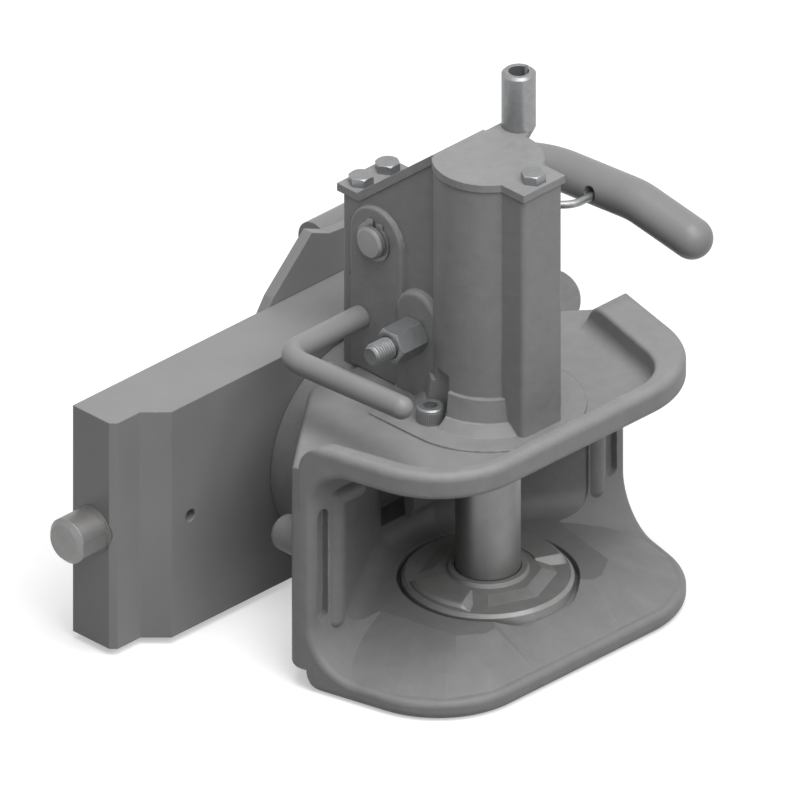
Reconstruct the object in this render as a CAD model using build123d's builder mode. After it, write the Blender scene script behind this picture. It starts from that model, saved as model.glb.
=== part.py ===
"""Tractor clevis coupling: slider, turning jaw, coupling pin with its lift gear, and the slider's lock.

Millimetres. The origin is where the coupling pin's axis crosses the jaw's turning axis.
+Z is up, -Y points out of the mouth and +Y towards the tractor.
"""
from build123d import *
from math import atan2, cos, degrees, radians, sin
import os

os.makedirs("parts", exist_ok=True)

# Fits between pieces
run_gap = 0.05
face_gap = 0.3
loose_gap = 0.5

# Coupling pin
pin_d = 38.0
pin_bottom_z = -74.0
pin_top_z = 98.0
pin_lift = 116.0
pin_tip = 4.0
pin_top_chamfer = 1.5
cross_pin_d = 10.0
cross_pin_drop = 14.0
cross_pin_under = 1.0
bush_under = 2.0
pin_slot_w = 15.0
pin_slot_floor_z = 48.5

# Jaw lips, seen from above
lip_front_y = -78.0
lip_front_half = 106.0
lip_corner_r = 60.0
cheek_half = 130.0
cheek_back_y = 30.0
cheek_front_y = 17.0
jaw_back_y = 86.0
jaw_back_half = 60.0

# Jaw lips, seen from the side
mouth_half_h = 48.0
lip_inner_z = 67.0
lower_rim_z = -79.0
upper_rim_z = 84.0
dish_z = 66.0
side_edge_y = 23.0
floor_front_y = -46.0
floor_front_half = 47.0
floor_corner_y = -36.0
floor_corner_half = 62.0
floor_bend_y = 13.0
floor_bend_half = 72.0
floor_side_half = 78.0
rim_strip = 4.5
rim_side_w = 26.0
rim_thin_w = 11.0
rim_front_w = 10.5
rim_back_y = 6.0
rim_r = 5.0
rim_inner_r = 2.5
mound_behind = 20.0
mound_side_share = 0.72
mound_arc_share = 0.78
mound_arc_turns = (41, 10)
dish_wall_r = 8.0
cheek_lower_r = 30.0
cheek_upper_r = 24.0
edge_r = 4.0
back_corner_r = 8.0
ramp_half = 34.6
ramp_start_y = -40.0
ramp_depth = 8.0
ramp_flare = 60

# Throat
rib_outer_half = 113.0
rib_inner_half = 99.0
rib_end_z = 40.0
rib_limb = 18.0
rib_groove_w = 9.0
rib_groove_t = 5.0
rib_groove_half = 37.0
throat_back_y = 66.0
throat_front_y = -10.0
throat_lead = 2.0
throat_edge_r = 12.0
recess_half = 21.0
recess_back_y = 82.0
recess_rise = 14.0
recess_under = 4.0
recess_lap = 12.0

# Barrel, flange and journal behind the jaw
barrel_r = 66.0
barrel_lap = 8.0
journal_r = 26.0

# Slider
slider_half_w = 181.0
slider_half_h = 75.0
slider_back_y = 157.0
slider_front_y = 111.4
tongue_front_y = 124.1
tongue_inner_half = 158.9
step_half = 146.2
tongue_chamfer = 3.6
bush_wall = 4.0
witness_hole_x = -131.0
witness_hole_d = 8.0
witness_hole_t = 12.0

# Slider lock
lock_pin_d = 28.0
lock_pin_y = 140.5
lock_pin_out = 24.0
lock_pin_inner_x = 76.0
lock_pin_flat = 13.3
lock_pin_chamfer = 3.0
lock_pin_proud = 1.0
lock_pin_groove_w = 2.5
lock_pin_groove_t = 1.0
lock_bore_end_x = 40.0
lock_travel = 24.0
lock_turn = 26.0
pull_pin_d = 12.0
pull_pin_x = 88.0
pull_pin_sunk = 3.0
lock_plate_t = 7.0
lock_plate_r = 62.0
cap_shoulder_r = 45.0
cap_flange_r = 54.0
cap_flange_t = 5.0
horn_x = 14.0
horn_z = 110.0
horn_top_w = 14.0
horn_top_drop = 6.0
horn_knee_x = 18.0
horn_knee_z = 79.0
horn_foot_x = 45.0
horn_foot_z = 38.0
wing_wall = 10.0
slot_over = 0.12

# Handle bar
bar_d = 25.0
bar_y = 176.0
bar_z = 88.0
bar_start_x = 34.0
bar_lap = 42.0
bar_flat_len = 55.0
bar_tab_half = 12.0
bar_foot_x = 56.0
bar_foot_z = 20.0
bar_side_x = 190.0
bar_bend_r = 51.0
bar_knee_y = 68.0
bar_knee_z = 96.0
bar_end_y = 24.0
bar_end_z = 89.0
wire_d = 4.7
wire_hole_d = 9.0
wire_y = 95.0
wire_bend_r = 14.0
wire_inset = 2.0
wire_stand = 12.0
wire_rise = 2.0
wire_hole_drop = 1.5

# Pin housing
column_r = 31.5
column_top_z = 225.0
boss_half = 16.0
boss_front_y = -45.0
box_half = 20.0
box_back_y = 99.0
slope_start_y = 23.0
slope_end_y = 84.0
slope_drop = 50.0
cavity_half = 14.0
cavity_floor_z = 71.0
cavity_back_y = 92.5
cavity_upper_back_y = 86.0
cavity_step_z = 125.0
cavity_step_h = 10.0
cavity_toe_y = 19.0
cavity_toe_h = 12.0
cavity_over = 20.0
bore_wall_r = 24.0
bush_wall_pin = 5.0
foot_r = 37.0
foot_h = 22.0
base_boss_r = 57.0
base_boss_h = 1.5
base_boss_back_y = 40.0
foot_flare = 6.0
foot_taper = 8
housing_edge_r = 3.0
lug_y = 10.0
lug_t = 8.0
lug_out = 12.0
lug_above = 2.0
lug_knee = 4.0

# Lift gear in the housing
pivot_y = 69.0
pivot_z = 156.0
pivot_d = 20.0
pivot_out = 6.0
pivot_chamfer = 1.5
lever_t = 12.0
lever_boss_r = 15.0
lever_tip_r = 104.0
lever_tip_room = 4.0
lever_side_room = 2.0
lever_cut_back = 30.0
lever_cut_front = 45.0
fork_start_r = 60.0
fork_root = 12.0
lever_waist = 3.0
fork_above = 1.0
fork_below = 8.5
prong_t = 6.0
shaft_y = 80.6
shaft_z = 101.0
shaft_d = 14.0
shaft_blind = 2.0
finger_len = 54.0
finger_tip_r = 6.0
finger_boss_wall = 4.0
finger_root = 3.0
finger_drop = 24.0
hand_lever_x = -87.0
hand_lever_end_y = -16.5
hand_lever_rise = 5.0
hand_lever_bend_r = 16.0

# Trigger
trigger_half = 11.0
trigger_y = 58.0
trigger_z = 61.0
trigger_pin_d = 8.0
trigger_front_y = 49.0
trigger_t = 8.0
trigger_bottom_z = -26.0
trigger_boss_r = 8.0
trigger_toe = 6.0
trigger_side_room = 3.0
trigger_slot_len = 30.0
trigger_slot_under = 20.0

# Cover
cover_t = 5.0
cover_margin = 1.0
cover_over = 3.0
cover_bend = 1.7
ear_x = 39.0
ear_y = 14.0
ear_w = 12.0
ear_end = 12.0
ear_root_y = -8.0
sleeve_d = 20.0
sleeve_bore_d = 12.0
sleeve_h = 36.0
sleeve_chamfer = 1.5
sleeve_slot_up = 10.0
sleeve_slot_w = 2.5
bolt_d = 8.0
bolt_head_af = 13.0
bolt_head_h = 5.5
bolt_len = 16.0
front_bolt_y = -37.0
rear_bolt_half = 10.8
rear_bolt_y = 92.5

# Left side of the housing
shaft_pad_r = 21.0
shaft_pad_t = 3.0
nut_pad_r = 17.0
nut_pad_t = 5.0
nut_pad_above = 10.0
head_land = 0.95
stud_y = 34.0
stud_z = 109.0
stud_d = 12.5
stud_out = 37.0
stud_in = 4.0
stud_chamfer = 1.2
nut_af = 20.0
nut_len = 22.0

# Screws beside the housing foot
foot_screw_x = 38.0
foot_screw_y = 9.0
foot_screw_head_d = 16.0
foot_screw_head_h = 10.0
foot_screw_d = 10.0
foot_screw_len = 14.0
foot_screw_room = 3.0
foot_screw_reach = 30.0
foot_screw_chamfer = 1.0
foot_screw_socket_af = 8.0
foot_screw_socket_t = 5.0

# Wear disc and bushes
disc_d = 100.0
disc_t = 8.0
disc_recess_t = 6.0
disc_room = 3.0
disc_collar_d = 50.0
disc_collar_h = 2.5
disc_facets = 8
disc_facet_d = 80.0
disc_facet_h = 3.0
disc_facet_taper = 70
disc_collar_taper = 20
disc_chamfer = 2.0
disc_pin_room = 0.6

# Retaining plate behind the slider, screwed to the journal's end
counterbore_r = 36.0
counterbore_t = 10.0
retainer_r = 35.5
retainer_t = 8.0
retainer_screw_d = 10.0
retainer_screw_pcd_r = 15.0
retainer_screw_len = 24.0
retainer_socket_af = 6.0
retainer_socket_t = 4.0
cap_screw_d = 6.0
cap_screw_r = 40.5
cap_screw_af = 10.0
cap_screw_head_h = 4.0
cap_screw_len = 18.0
cap_hole_room = 6.0

# Rubbing studs on the backs of the cheeks
stop_x = 105.0
stop_d = 22.0
stop_end_y = 64.0
stop_round = 6.0
stop_root = 12.0

# Springs of the slider lock and of the lift lever
lock_spring_r = 9.5
lock_spring_wire = 2.5
lock_spring_turns = 4
closing_spring_wire = 3.0
closing_spring_turns = 2
closing_room = 0.6
circlip_t = 1.75
circlip_w = 2.5
circlip_groove_t = 1.5
circlip_ear_r = 3.0
circlip_ear_y = 3.5
circlip_gap = 2.5
circlip_cut_h = 16.0
anchor_y = 90.0
anchor_z = 124.0
anchor_d = 5.0

# Grease nipple on the barrel
nipple_x = -30.0
nipple_y = 95.0
nipple_shank_d = 6.0
nipple_shank_len = 8.0
nipple_af = 9.0
nipple_hex_h = 4.0
nipple_head_d = 6.0
nipple_head_h = 6.0
nipple_taper = 8

# How far a cut runs past what it cuts
clear_over = 1.0
past_all = 60.0

# Values worked out from the ones above
slope_end_z = column_top_z - slope_drop
pin_r = pin_d / 2
pull_pin_front_y = lock_pin_y - lock_pin_d / 2 + pull_pin_sunk
cross_z = pin_top_z - cross_pin_drop
bush_top_z = cross_z - bush_under
flange_back_y = slider_front_y - face_gap
journal_end_y = slider_back_y - counterbore_t + face_gap
cover_top_z = column_top_z + cover_t
lever_low = degrees(atan2(pivot_z - cross_z, pivot_y))
bush_r = journal_r + run_gap + bush_wall
plate_y = slider_back_y + face_gap
plate_back_y = plate_y + lock_plate_t
pin_bush_r = pin_r + run_gap + bush_wall_pin
circlip_y = pivot_y - 1
circlip_ear_z = pivot_z + pivot_d / 2 + 1.5
recess_z = -mouth_half_h - disc_recess_t
fork_upper = cross_pin_d / 2 + fork_above
fork_lower = cross_pin_d / 2 + fork_below
cavity_wall = box_half - cavity_half
mound_back_y = cheek_front_y + mound_behind
ramp_fall = lip_inner_z - mouth_half_h
ramp_run = ramp_start_y - lip_front_y - rim_strip
ramp_len = (ramp_fall ** 2 + ramp_run ** 2) ** 0.5
ramp_plane = Plane(origin=(0, ramp_start_y, -mouth_half_h), x_dir=(1, 0, 0), z_dir=(0, -ramp_fall, ramp_run))
cavity_top_z = column_top_z + cavity_over
nipple_z = (barrel_r ** 2 - nipple_x ** 2) ** 0.5
nipple_plane = Plane(origin=(nipple_x, nipple_y, nipple_z), x_dir=(0, 1, 0), z_dir=(nipple_x, 0, nipple_z))
wire_hole_z = bar_knee_z - wire_hole_drop
wire_z = wire_hole_z - (wire_hole_d - wire_d) / 2 + run_gap


def save(builder, name):
    """Label a finished piece and write its file."""
    builder.part.label = name
    export_step(builder.part, f"parts/{name}.step")


def lip_plan(height):
    """Outline of a lip from above: straight front, big round corners and sides that spread to the cheeks."""
    with BuildSketch(Plane.XY.offset(height)) as plan:
        with BuildLine():
            Polyline(
                (-jaw_back_half, jaw_back_y),
                (-cheek_half, cheek_back_y),
                (-cheek_half, side_edge_y),
                (-lip_front_half, lip_front_y),
                (lip_front_half, lip_front_y),
                (cheek_half, side_edge_y),
                (cheek_half, cheek_back_y),
                (jaw_back_half, jaw_back_y),
                close=True,
            )
        make_face()
        fillet(plan.vertices().group_by(Axis.Y)[0], lip_corner_r)
        fillet(plan.vertices().group_by(Axis.Y)[-1], back_corner_r)
    return plan.sketch


def gap_to(place, outline):
    """Distance of a place from the upright wall over an outline."""
    return outline.distance_to(Vertex(place.X, place.Y, 0))


def on_wall(edge, outline):
    """Whether an edge lies on the upright wall over an outline."""
    return all(gap_to(edge @ share, outline) < run_gap for share in (0.1, 0.5, 0.9))


def lip_mound(side):
    """Rise of a lip towards the pin, faceted up to a plateau at the mouth's height."""
    spread = (cheek_half - lip_front_half) / (side_edge_y - lip_front_y)
    side_end_y = lip_front_y + lip_corner_r * mound_side_share
    side_end_half = lip_front_half + (side_end_y - lip_front_y) * spread - rim_strip
    arc_x = lip_front_half - lip_corner_r * mound_arc_share
    arc_y = lip_front_y + lip_corner_r
    arc_r = lip_corner_r - rim_strip
    arc_turns = [radians(turn) for turn in mound_arc_turns]
    arc_points = [(-arc_x - arc_r * sin(turn), arc_y - arc_r * cos(turn)) for turn in arc_turns]
    with BuildPart() as mound:
        with BuildSketch(Plane.XY.offset(side * lip_inner_z)) as rim:
            with BuildLine():
                Polyline(
                    (-cheek_half + rim_strip, mound_back_y),
                    (-side_end_half, side_end_y),
                    *arc_points,
                    (0, lip_front_y + rim_strip),
                )
                mirror(about=Plane.YZ)
                Line((-cheek_half + rim_strip, mound_back_y), (cheek_half - rim_strip, mound_back_y))
            make_face()
        with BuildSketch(Plane.XY.offset(side * mouth_half_h)) as plateau:
            with BuildLine():
                Polyline(
                    (-floor_side_half, mound_back_y),
                    (-floor_bend_half, floor_bend_y),
                    (-floor_corner_half, floor_corner_y),
                    (-floor_front_half, floor_front_y),
                    (0, floor_front_y),
                )
                mirror(about=Plane.YZ)
                Line((-floor_side_half, mound_back_y), (floor_side_half, mound_back_y))
            make_face()
        loft(ruled=True)
    return mound.part


def dish(side, floor, left_w):
    """What is taken off a lip's outer face inside its rim, open at the back."""
    with BuildPart() as tool:
        with BuildSketch(Plane.XY.offset(side * floor)) as plan:
            with BuildLine():
                Polyline(
                    (-cheek_half + left_w, jaw_back_y + past_all),
                    (-cheek_half + left_w, side_edge_y),
                    (-lip_front_half + left_w, lip_front_y + rim_front_w),
                    (lip_front_half - rim_side_w, lip_front_y + rim_front_w),
                    (cheek_half - rim_side_w, side_edge_y),
                    (cheek_half - rim_side_w, jaw_back_y + past_all),
                    close=True,
                )
            make_face()
            fillet(plan.vertices().group_by(Axis.Y)[0].sort_by(Axis.X)[0], lip_corner_r - left_w)
            fillet(plan.vertices().group_by(Axis.Y)[0].sort_by(Axis.X)[-1], lip_corner_r - rim_side_w)
        extrude(amount=side * past_all)
        low_face = tool.faces().filter_by(Axis.Z).sort_by(Axis.Z)[0 if side > 0 else -1]
        fillet(low_face.edges(), dish_wall_r)
    return tool.part


def rim_end(side, rim_z):
    """What is taken off behind a lip's rim, so that the rim rolls down to the dish's floor."""
    roll_r = abs(rim_z) - dish_z
    with BuildPart() as tool:
        with BuildSketch(Plane.YZ.offset(-cheek_half - past_all)):
            with Locations((rim_back_y + past_all, side * (dish_z + roll_r))):
                Rectangle(2 * past_all, 2 * roll_r)
            with Locations((rim_back_y, side * dish_z)):
                Circle(roll_r, mode=Mode.SUBTRACT)
        extrude(amount=2 * (cheek_half + past_all))
    return tool.part


def pad(top_y, top_z, radius, thickness):
    """Raised pad on the housing's left wall, round at the top, with soft edges."""
    with BuildPart() as raised:
        with BuildSketch(Plane.YZ.offset(-box_half - thickness)):
            with Locations((top_y, top_z)):
                Circle(radius)
            with Locations((top_y, (top_z + dish_z) / 2)):
                Rectangle(2 * radius, top_z - dish_z)
        extrude(amount=thickness + cavity_wall / 2)
        fillet(raised.faces().sort_by(Axis.X)[0].edges(), thickness * 0.6)
    return raised.part


def hex_head(across, height, both_ends=False):
    """Hexagon prism on the XY plane with the usual cone-shaped chamfer at its outer end or at both ends."""
    point_r = across / 2 / cos(radians(30))
    drop = (point_r - across * head_land / 2) * sin(radians(30)) / cos(radians(30))
    with BuildPart() as head:
        with BuildSketch(Plane.XY):
            RegularPolygon(across / 2, 6, major_radius=False)
        extrude(amount=height)
        with BuildSketch(Plane.XZ):
            with BuildLine():
                Polyline(
                    (0, 0),
                    (across * head_land / 2 if both_ends else point_r, 0),
                    (point_r, drop if both_ends else 0.01),
                    (point_r, height - drop),
                    (across * head_land / 2, height),
                    (0, height),
                    close=True,
                )
            make_face()
        revolve(axis=Axis.Z, mode=Mode.INTERSECT)
    return head.part


with BuildPart() as mouth:
    mouth_front_y = lip_front_y - past_all
    with BuildSketch(Plane.YZ.offset(-cheek_half - past_all)):
        with Locations(((cheek_front_y + mouth_front_y) / 2, 0)):
            Rectangle(cheek_front_y - mouth_front_y, 2 * lip_inner_z)
    extrude(amount=2 * cheek_half + 2 * past_all)
    back_edges = mouth.edges().filter_by(Axis.X).group_by(Axis.Y)[-1].sort_by(Axis.Z)
    fillet(back_edges[0], cheek_lower_r)
    back_edges = mouth.edges().filter_by(Axis.X).group_by(Axis.Z)[-1].sort_by(Axis.Y)
    fillet(back_edges[-1], cheek_upper_r)
    add(lip_mound(1), mode=Mode.SUBTRACT)
    add(lip_mound(-1), mode=Mode.SUBTRACT)

    # longer ramp in the middle of the lower lip, with flared sides
    with BuildSketch(ramp_plane):
        with Locations((0, -ramp_len / 2)):
            Rectangle(2 * ramp_half, ramp_len)
    extrude(amount=ramp_depth, taper=-ramp_flare)

with BuildPart() as throat:
    with BuildSketch(Plane.XY.offset(-mouth_half_h)):
        with BuildLine():
            Polyline(
                (-rib_inner_half, throat_front_y),
                (-rib_inner_half, cheek_front_y + throat_lead),
                (-recess_half, throat_back_y),
                (recess_half, throat_back_y),
                (rib_inner_half, cheek_front_y + throat_lead),
                (rib_inner_half, throat_front_y),
                close=True,
            )
        make_face()
    extrude(amount=2 * mouth_half_h)
    fillet(throat.faces().filter_by(Axis.Z).edges(), throat_edge_r)
    recess_front_y = throat_back_y - recess_lap
    with BuildSketch(Plane.XY.offset(-mouth_half_h + recess_rise)):
        with Locations((0, (recess_back_y + recess_front_y) / 2)):
            Rectangle(2 * recess_half, recess_back_y - recess_front_y)
    extrude(amount=2 * mouth_half_h - recess_rise - recess_under)

with BuildPart() as jaw_body:
    # the block that both lips, the cheeks and the throat are cut from
    extrude(lip_plan(lower_rim_z), amount=upper_rim_z - lower_rim_z)
    fillet(jaw_body.faces().filter_by(Axis.Z).edges(), rim_r)
    add(dish(1, dish_z, rim_thin_w), mode=Mode.SUBTRACT)
    add(dish(-1, dish_z, rim_side_w), mode=Mode.SUBTRACT)
    outline = lip_plan(0).wire()
    add(rim_end(1, upper_rim_z), mode=Mode.SUBTRACT)
    add(rim_end(-1, lower_rim_z), mode=Mode.SUBTRACT)
    back_edges = jaw_body.edges().filter_by(lambda edge: on_wall(edge, outline))
    back_edges = back_edges.filter_by(lambda edge: abs(edge.center().Z) < dish_z + clear_over)
    back_edges = back_edges.filter_by_position(Axis.Y, cheek_back_y - clear_over, jaw_back_y + clear_over)
    fillet(back_edges.filter_by(GeomType.LINE), edge_r)
    rim_edges = jaw_body.faces().filter_by(Axis.Z).sort_by(Axis.Z)[-1].edges()
    rim_edges = rim_edges.filter_by_position(Axis.Y, lip_front_y, rim_back_y - clear_over)
    fillet(rim_edges.filter_by(lambda edge: gap_to(edge @ 0.5, outline) > rim_r + clear_over), rim_inner_r)

    # barrel that runs on the slider's face, and the journal behind it
    barrel_front_y = throat_back_y + barrel_lap
    with BuildSketch(Plane.XZ.offset(-barrel_front_y)):
        Circle(barrel_r)
    extrude(amount=-(flange_back_y - barrel_front_y))
    with BuildSketch(Plane.XZ.offset(-flange_back_y)):
        Circle(journal_r)
    extrude(amount=-(journal_end_y - flange_back_y))
    with BuildSketch(Plane.XZ.offset(-journal_end_y)):
        with PolarLocations(retainer_screw_pcd_r, 4, 45):
            Circle(retainer_screw_d / 2)
    extrude(amount=retainer_screw_len, mode=Mode.SUBTRACT)

    # rubbing studs with round ends on the backs of the cheeks
    stop_start_y = cheek_front_y + stop_root
    for side in (-1, 1):
        with BuildSketch(Plane.XZ.offset(-stop_start_y)):
            with Locations((side * stop_x, 0)):
                Circle(stop_d / 2)
        extrude(amount=-(stop_end_y - stop_start_y))
    stop_edges = jaw_body.edges().filter_by(GeomType.CIRCLE)
    fillet(stop_edges.filter_by_position(Axis.Y, stop_end_y - run_gap, stop_end_y + run_gap), stop_round)

    # U-shaped boss and round foot under the housing
    with BuildSketch(Plane.XY.offset(dish_z)):
        Circle(base_boss_r)
        with Locations((0, base_boss_back_y / 2)):
            Rectangle(2 * base_boss_r, base_boss_back_y)
    extrude(amount=base_boss_h)
    with BuildSketch(Plane.XY.offset(dish_z)):
        Circle(foot_r)
    extrude(amount=foot_h, taper=foot_taper)
    with BuildSketch(Plane.XY.offset(dish_z + base_boss_h)):
        Circle(foot_r + foot_flare)
    extrude(amount=foot_flare, taper=45)
    with BuildSketch(Plane.XZ.offset(-lug_y - lug_t / 2)):
        with BuildLine():
            Polyline(
                (-box_half, dish_z),
                (-column_r - lug_out, dish_z),
                (-column_r - lug_out / 2, dish_z + foot_h - lug_knee),
                (-column_r, dish_z + foot_h + lug_above),
                (-box_half, dish_z + foot_h + lug_above),
                close=True,
            )
        make_face()
    extrude(amount=lug_t)

    # housing: round column, front boss and rear box
    with BuildSketch(Plane.XY.offset(mouth_half_h)) as housing_plan:
        Circle(column_r)
        with Locations((0, boss_front_y / 2)):
            Rectangle(2 * boss_half, -boss_front_y)
        with Locations((0, box_back_y / 2)):
            Rectangle(2 * box_half, box_back_y)
        fillet(housing_plan.vertices().group_by(Axis.Y)[0], housing_edge_r)
        fillet(housing_plan.vertices().group_by(Axis.Y)[-1], housing_edge_r)
    extrude(amount=column_top_z - mouth_half_h)

    # raised pads on the left wall
    add(pad(pivot_y, pivot_z, shaft_pad_r, shaft_pad_t))
    add(pad(stud_y, stud_z + nut_pad_above, nut_pad_r, nut_pad_t))

    # sloping top at the back of the housing
    with BuildSketch(Plane.YZ.offset(-past_all)):
        with BuildLine():
            Polyline(
                (slope_start_y, column_top_z),
                (slope_start_y, column_top_z + clear_over),
                (box_back_y + clear_over, column_top_z + clear_over),
                (box_back_y + clear_over, slope_end_z),
                (slope_end_y, slope_end_z),
                close=True,
            )
        make_face()
    extrude(amount=2 * past_all, mode=Mode.SUBTRACT)

    # mouth, throat, and the rounded ribs that guide a drawbar eye into the throat
    add(mouth.part, mode=Mode.SUBTRACT)
    mouth_edges = jaw_body.edges().filter_by(lambda edge: on_wall(edge, outline))
    mouth_edges = mouth_edges.filter_by(lambda edge: abs(edge.center().Z) < lip_inner_z + run_gap)
    fillet(mouth_edges.filter_by_position(Axis.Y, lip_front_y - clear_over, cheek_front_y + run_gap), edge_r)
    add(throat.part, mode=Mode.SUBTRACT)
    for side in (-1, 1):
        groove_mid = side * (rib_outer_half + rib_groove_w / 2)
        with BuildSketch(Plane.XZ.offset(-cheek_front_y - rib_groove_t)):
            with Locations((groove_mid, 0)):
                SlotOverall(2 * rib_groove_half, rib_groove_w, rotation=90)
        extrude(amount=rib_groove_t + clear_over, mode=Mode.SUBTRACT)
        rib_x = side * (rib_outer_half + rib_inner_half) / 2
        rib_r = (rib_outer_half - rib_inner_half) / 2
        with BuildLine():
            rib_path = Polyline(
                (rib_x, cheek_front_y + rib_r / 2, -rib_end_z),
                (rib_x, cheek_front_y + rib_r / 2, rib_end_z),
            )
        with BuildSketch(Plane.XY.offset(-rib_end_z)):
            with Locations((rib_x, cheek_front_y + rib_r / 2)):
                Circle(rib_r)
        sweep(path=rib_path)
        for end_z in (-rib_end_z, rib_end_z):
            with Locations((rib_x, cheek_front_y + rib_r / 2, end_z)):
                Sphere(rib_r)
        with BuildSketch(Plane.YZ.offset(rib_x)):
            with Locations((cheek_front_y + rib_r / 2, rib_end_z)):
                Circle(rib_r)
        extrude(amount=-side * rib_limb)
        with Locations((rib_x - side * rib_limb, cheek_front_y + rib_r / 2, rib_end_z)):
            Sphere(rib_r)

    # cavity for the lift gear
    with BuildSketch(Plane.YZ.offset(-cavity_half)):
        with BuildLine():
            Polyline(
                (0, cavity_floor_z + cavity_toe_h),
                (cavity_toe_y, cavity_floor_z),
                (cavity_back_y, cavity_floor_z),
                (cavity_back_y, cavity_step_z),
                (cavity_upper_back_y, cavity_step_z + cavity_step_h),
                (cavity_upper_back_y, slope_end_z + cavity_over),
                (slope_start_y, cavity_top_z),
                (0, cavity_top_z),
                close=True,
            )
        make_face()
    extrude(amount=2 * cavity_half, mode=Mode.SUBTRACT)
    with BuildSketch(Plane.XY.offset(bush_top_z)):
        Circle(bore_wall_r)
    extrude(amount=cavity_top_z - bush_top_z, mode=Mode.SUBTRACT)
    with BuildSketch(Plane.YZ.offset(-lever_t / 2 - lever_side_room)):
        with Locations((pivot_y, pivot_z)):
            Circle(lever_tip_r + lever_tip_room)
        with Locations((pivot_y + lever_cut_back, pivot_z)):
            Rectangle(2 * (lever_cut_back + lever_cut_front), 4 * lever_tip_r, mode=Mode.SUBTRACT)
    extrude(amount=lever_t + 2 * lever_side_room, mode=Mode.SUBTRACT)

    # bores: upper bush, wear disc recess and lower bush
    with BuildSketch(Plane.XY.offset(mouth_half_h - clear_over)):
        Circle(pin_bush_r)
    extrude(amount=pin_top_z - mouth_half_h + clear_over, mode=Mode.SUBTRACT)
    with BuildSketch(Plane.XY.offset(recess_z)):
        Circle(disc_d / 2 + disc_room)
    extrude(amount=disc_recess_t + lip_inner_z - mouth_half_h, mode=Mode.SUBTRACT)
    with BuildSketch(Plane.XY.offset(lower_rim_z - clear_over)):
        Circle(pin_bush_r)
    extrude(amount=recess_z - lower_rim_z + 2 * clear_over, mode=Mode.SUBTRACT)

    # cross bores for the pivot shaft, the hand lever, the trigger pin and the stud
    with BuildSketch(Plane.YZ.offset(-past_all)):
        with Locations((pivot_y, pivot_z)):
            Circle(pivot_d / 2)
    extrude(amount=2 * past_all, mode=Mode.SUBTRACT)
    with BuildSketch(Plane.YZ.offset(-box_half)):
        with Locations((trigger_y, trigger_z)):
            Circle(trigger_pin_d / 2)
    extrude(amount=2 * box_half, mode=Mode.SUBTRACT)
    with BuildSketch(Plane.YZ.offset(-past_all)):
        with Locations((shaft_y, shaft_z)):
            Circle(shaft_d / 2 + run_gap)
    extrude(amount=past_all + cavity_half + shaft_blind + clear_over, mode=Mode.SUBTRACT)
    with BuildSketch(Plane.YZ.offset(-box_half)):
        with Locations((anchor_y, anchor_z)):
            Circle(anchor_d / 2)
    extrude(amount=cavity_wall, mode=Mode.SUBTRACT)

    # screw holes: cover, stud, foot screws and grease nipple
    with BuildSketch(Plane.XY.offset(column_top_z)):
        with Locations((0, front_bolt_y)):
            Circle(bolt_d / 2)
    extrude(amount=cover_t - bolt_len, mode=Mode.SUBTRACT)
    with BuildSketch(Plane.XY.offset(slope_end_z)):
        with Locations((-rear_bolt_half, rear_bolt_y), (rear_bolt_half, rear_bolt_y)):
            Circle(bolt_d / 2)
    extrude(amount=cover_t - bolt_len, mode=Mode.SUBTRACT)
    with BuildSketch(Plane.YZ.offset(-box_half + stud_in)):
        with Locations((stud_y, stud_z)):
            Circle(stud_d / 2)
    extrude(amount=-stud_in - nut_pad_t - clear_over, mode=Mode.SUBTRACT)
    with BuildSketch(Plane.XY.offset(dish_z + base_boss_h)):
        with Locations((-foot_screw_x, foot_screw_y), (foot_screw_x, foot_screw_y)):
            Circle(foot_screw_d / 2)
    extrude(amount=-foot_screw_len, mode=Mode.SUBTRACT)
    with BuildSketch(Plane.XY.offset(dish_z + base_boss_h)):
        with Locations((-foot_screw_x, foot_screw_y), (foot_screw_x, foot_screw_y)):
            Circle(foot_screw_head_d / 2 + foot_screw_room)
    extrude(amount=foot_screw_reach, mode=Mode.SUBTRACT)
    with BuildSketch(nipple_plane):
        Circle(nipple_shank_d / 2)
    extrude(amount=-nipple_shank_len, mode=Mode.SUBTRACT)

    # slot in the throat's roof for the trigger
    with BuildSketch(Plane.XY.offset(mouth_half_h - trigger_slot_under)):
        with Locations((0, trigger_y)):
            Rectangle(2 * trigger_half + trigger_side_room, trigger_slot_len)
    extrude(amount=past_all, mode=Mode.SUBTRACT)

save(jaw_body, "jaw_body")

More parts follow.
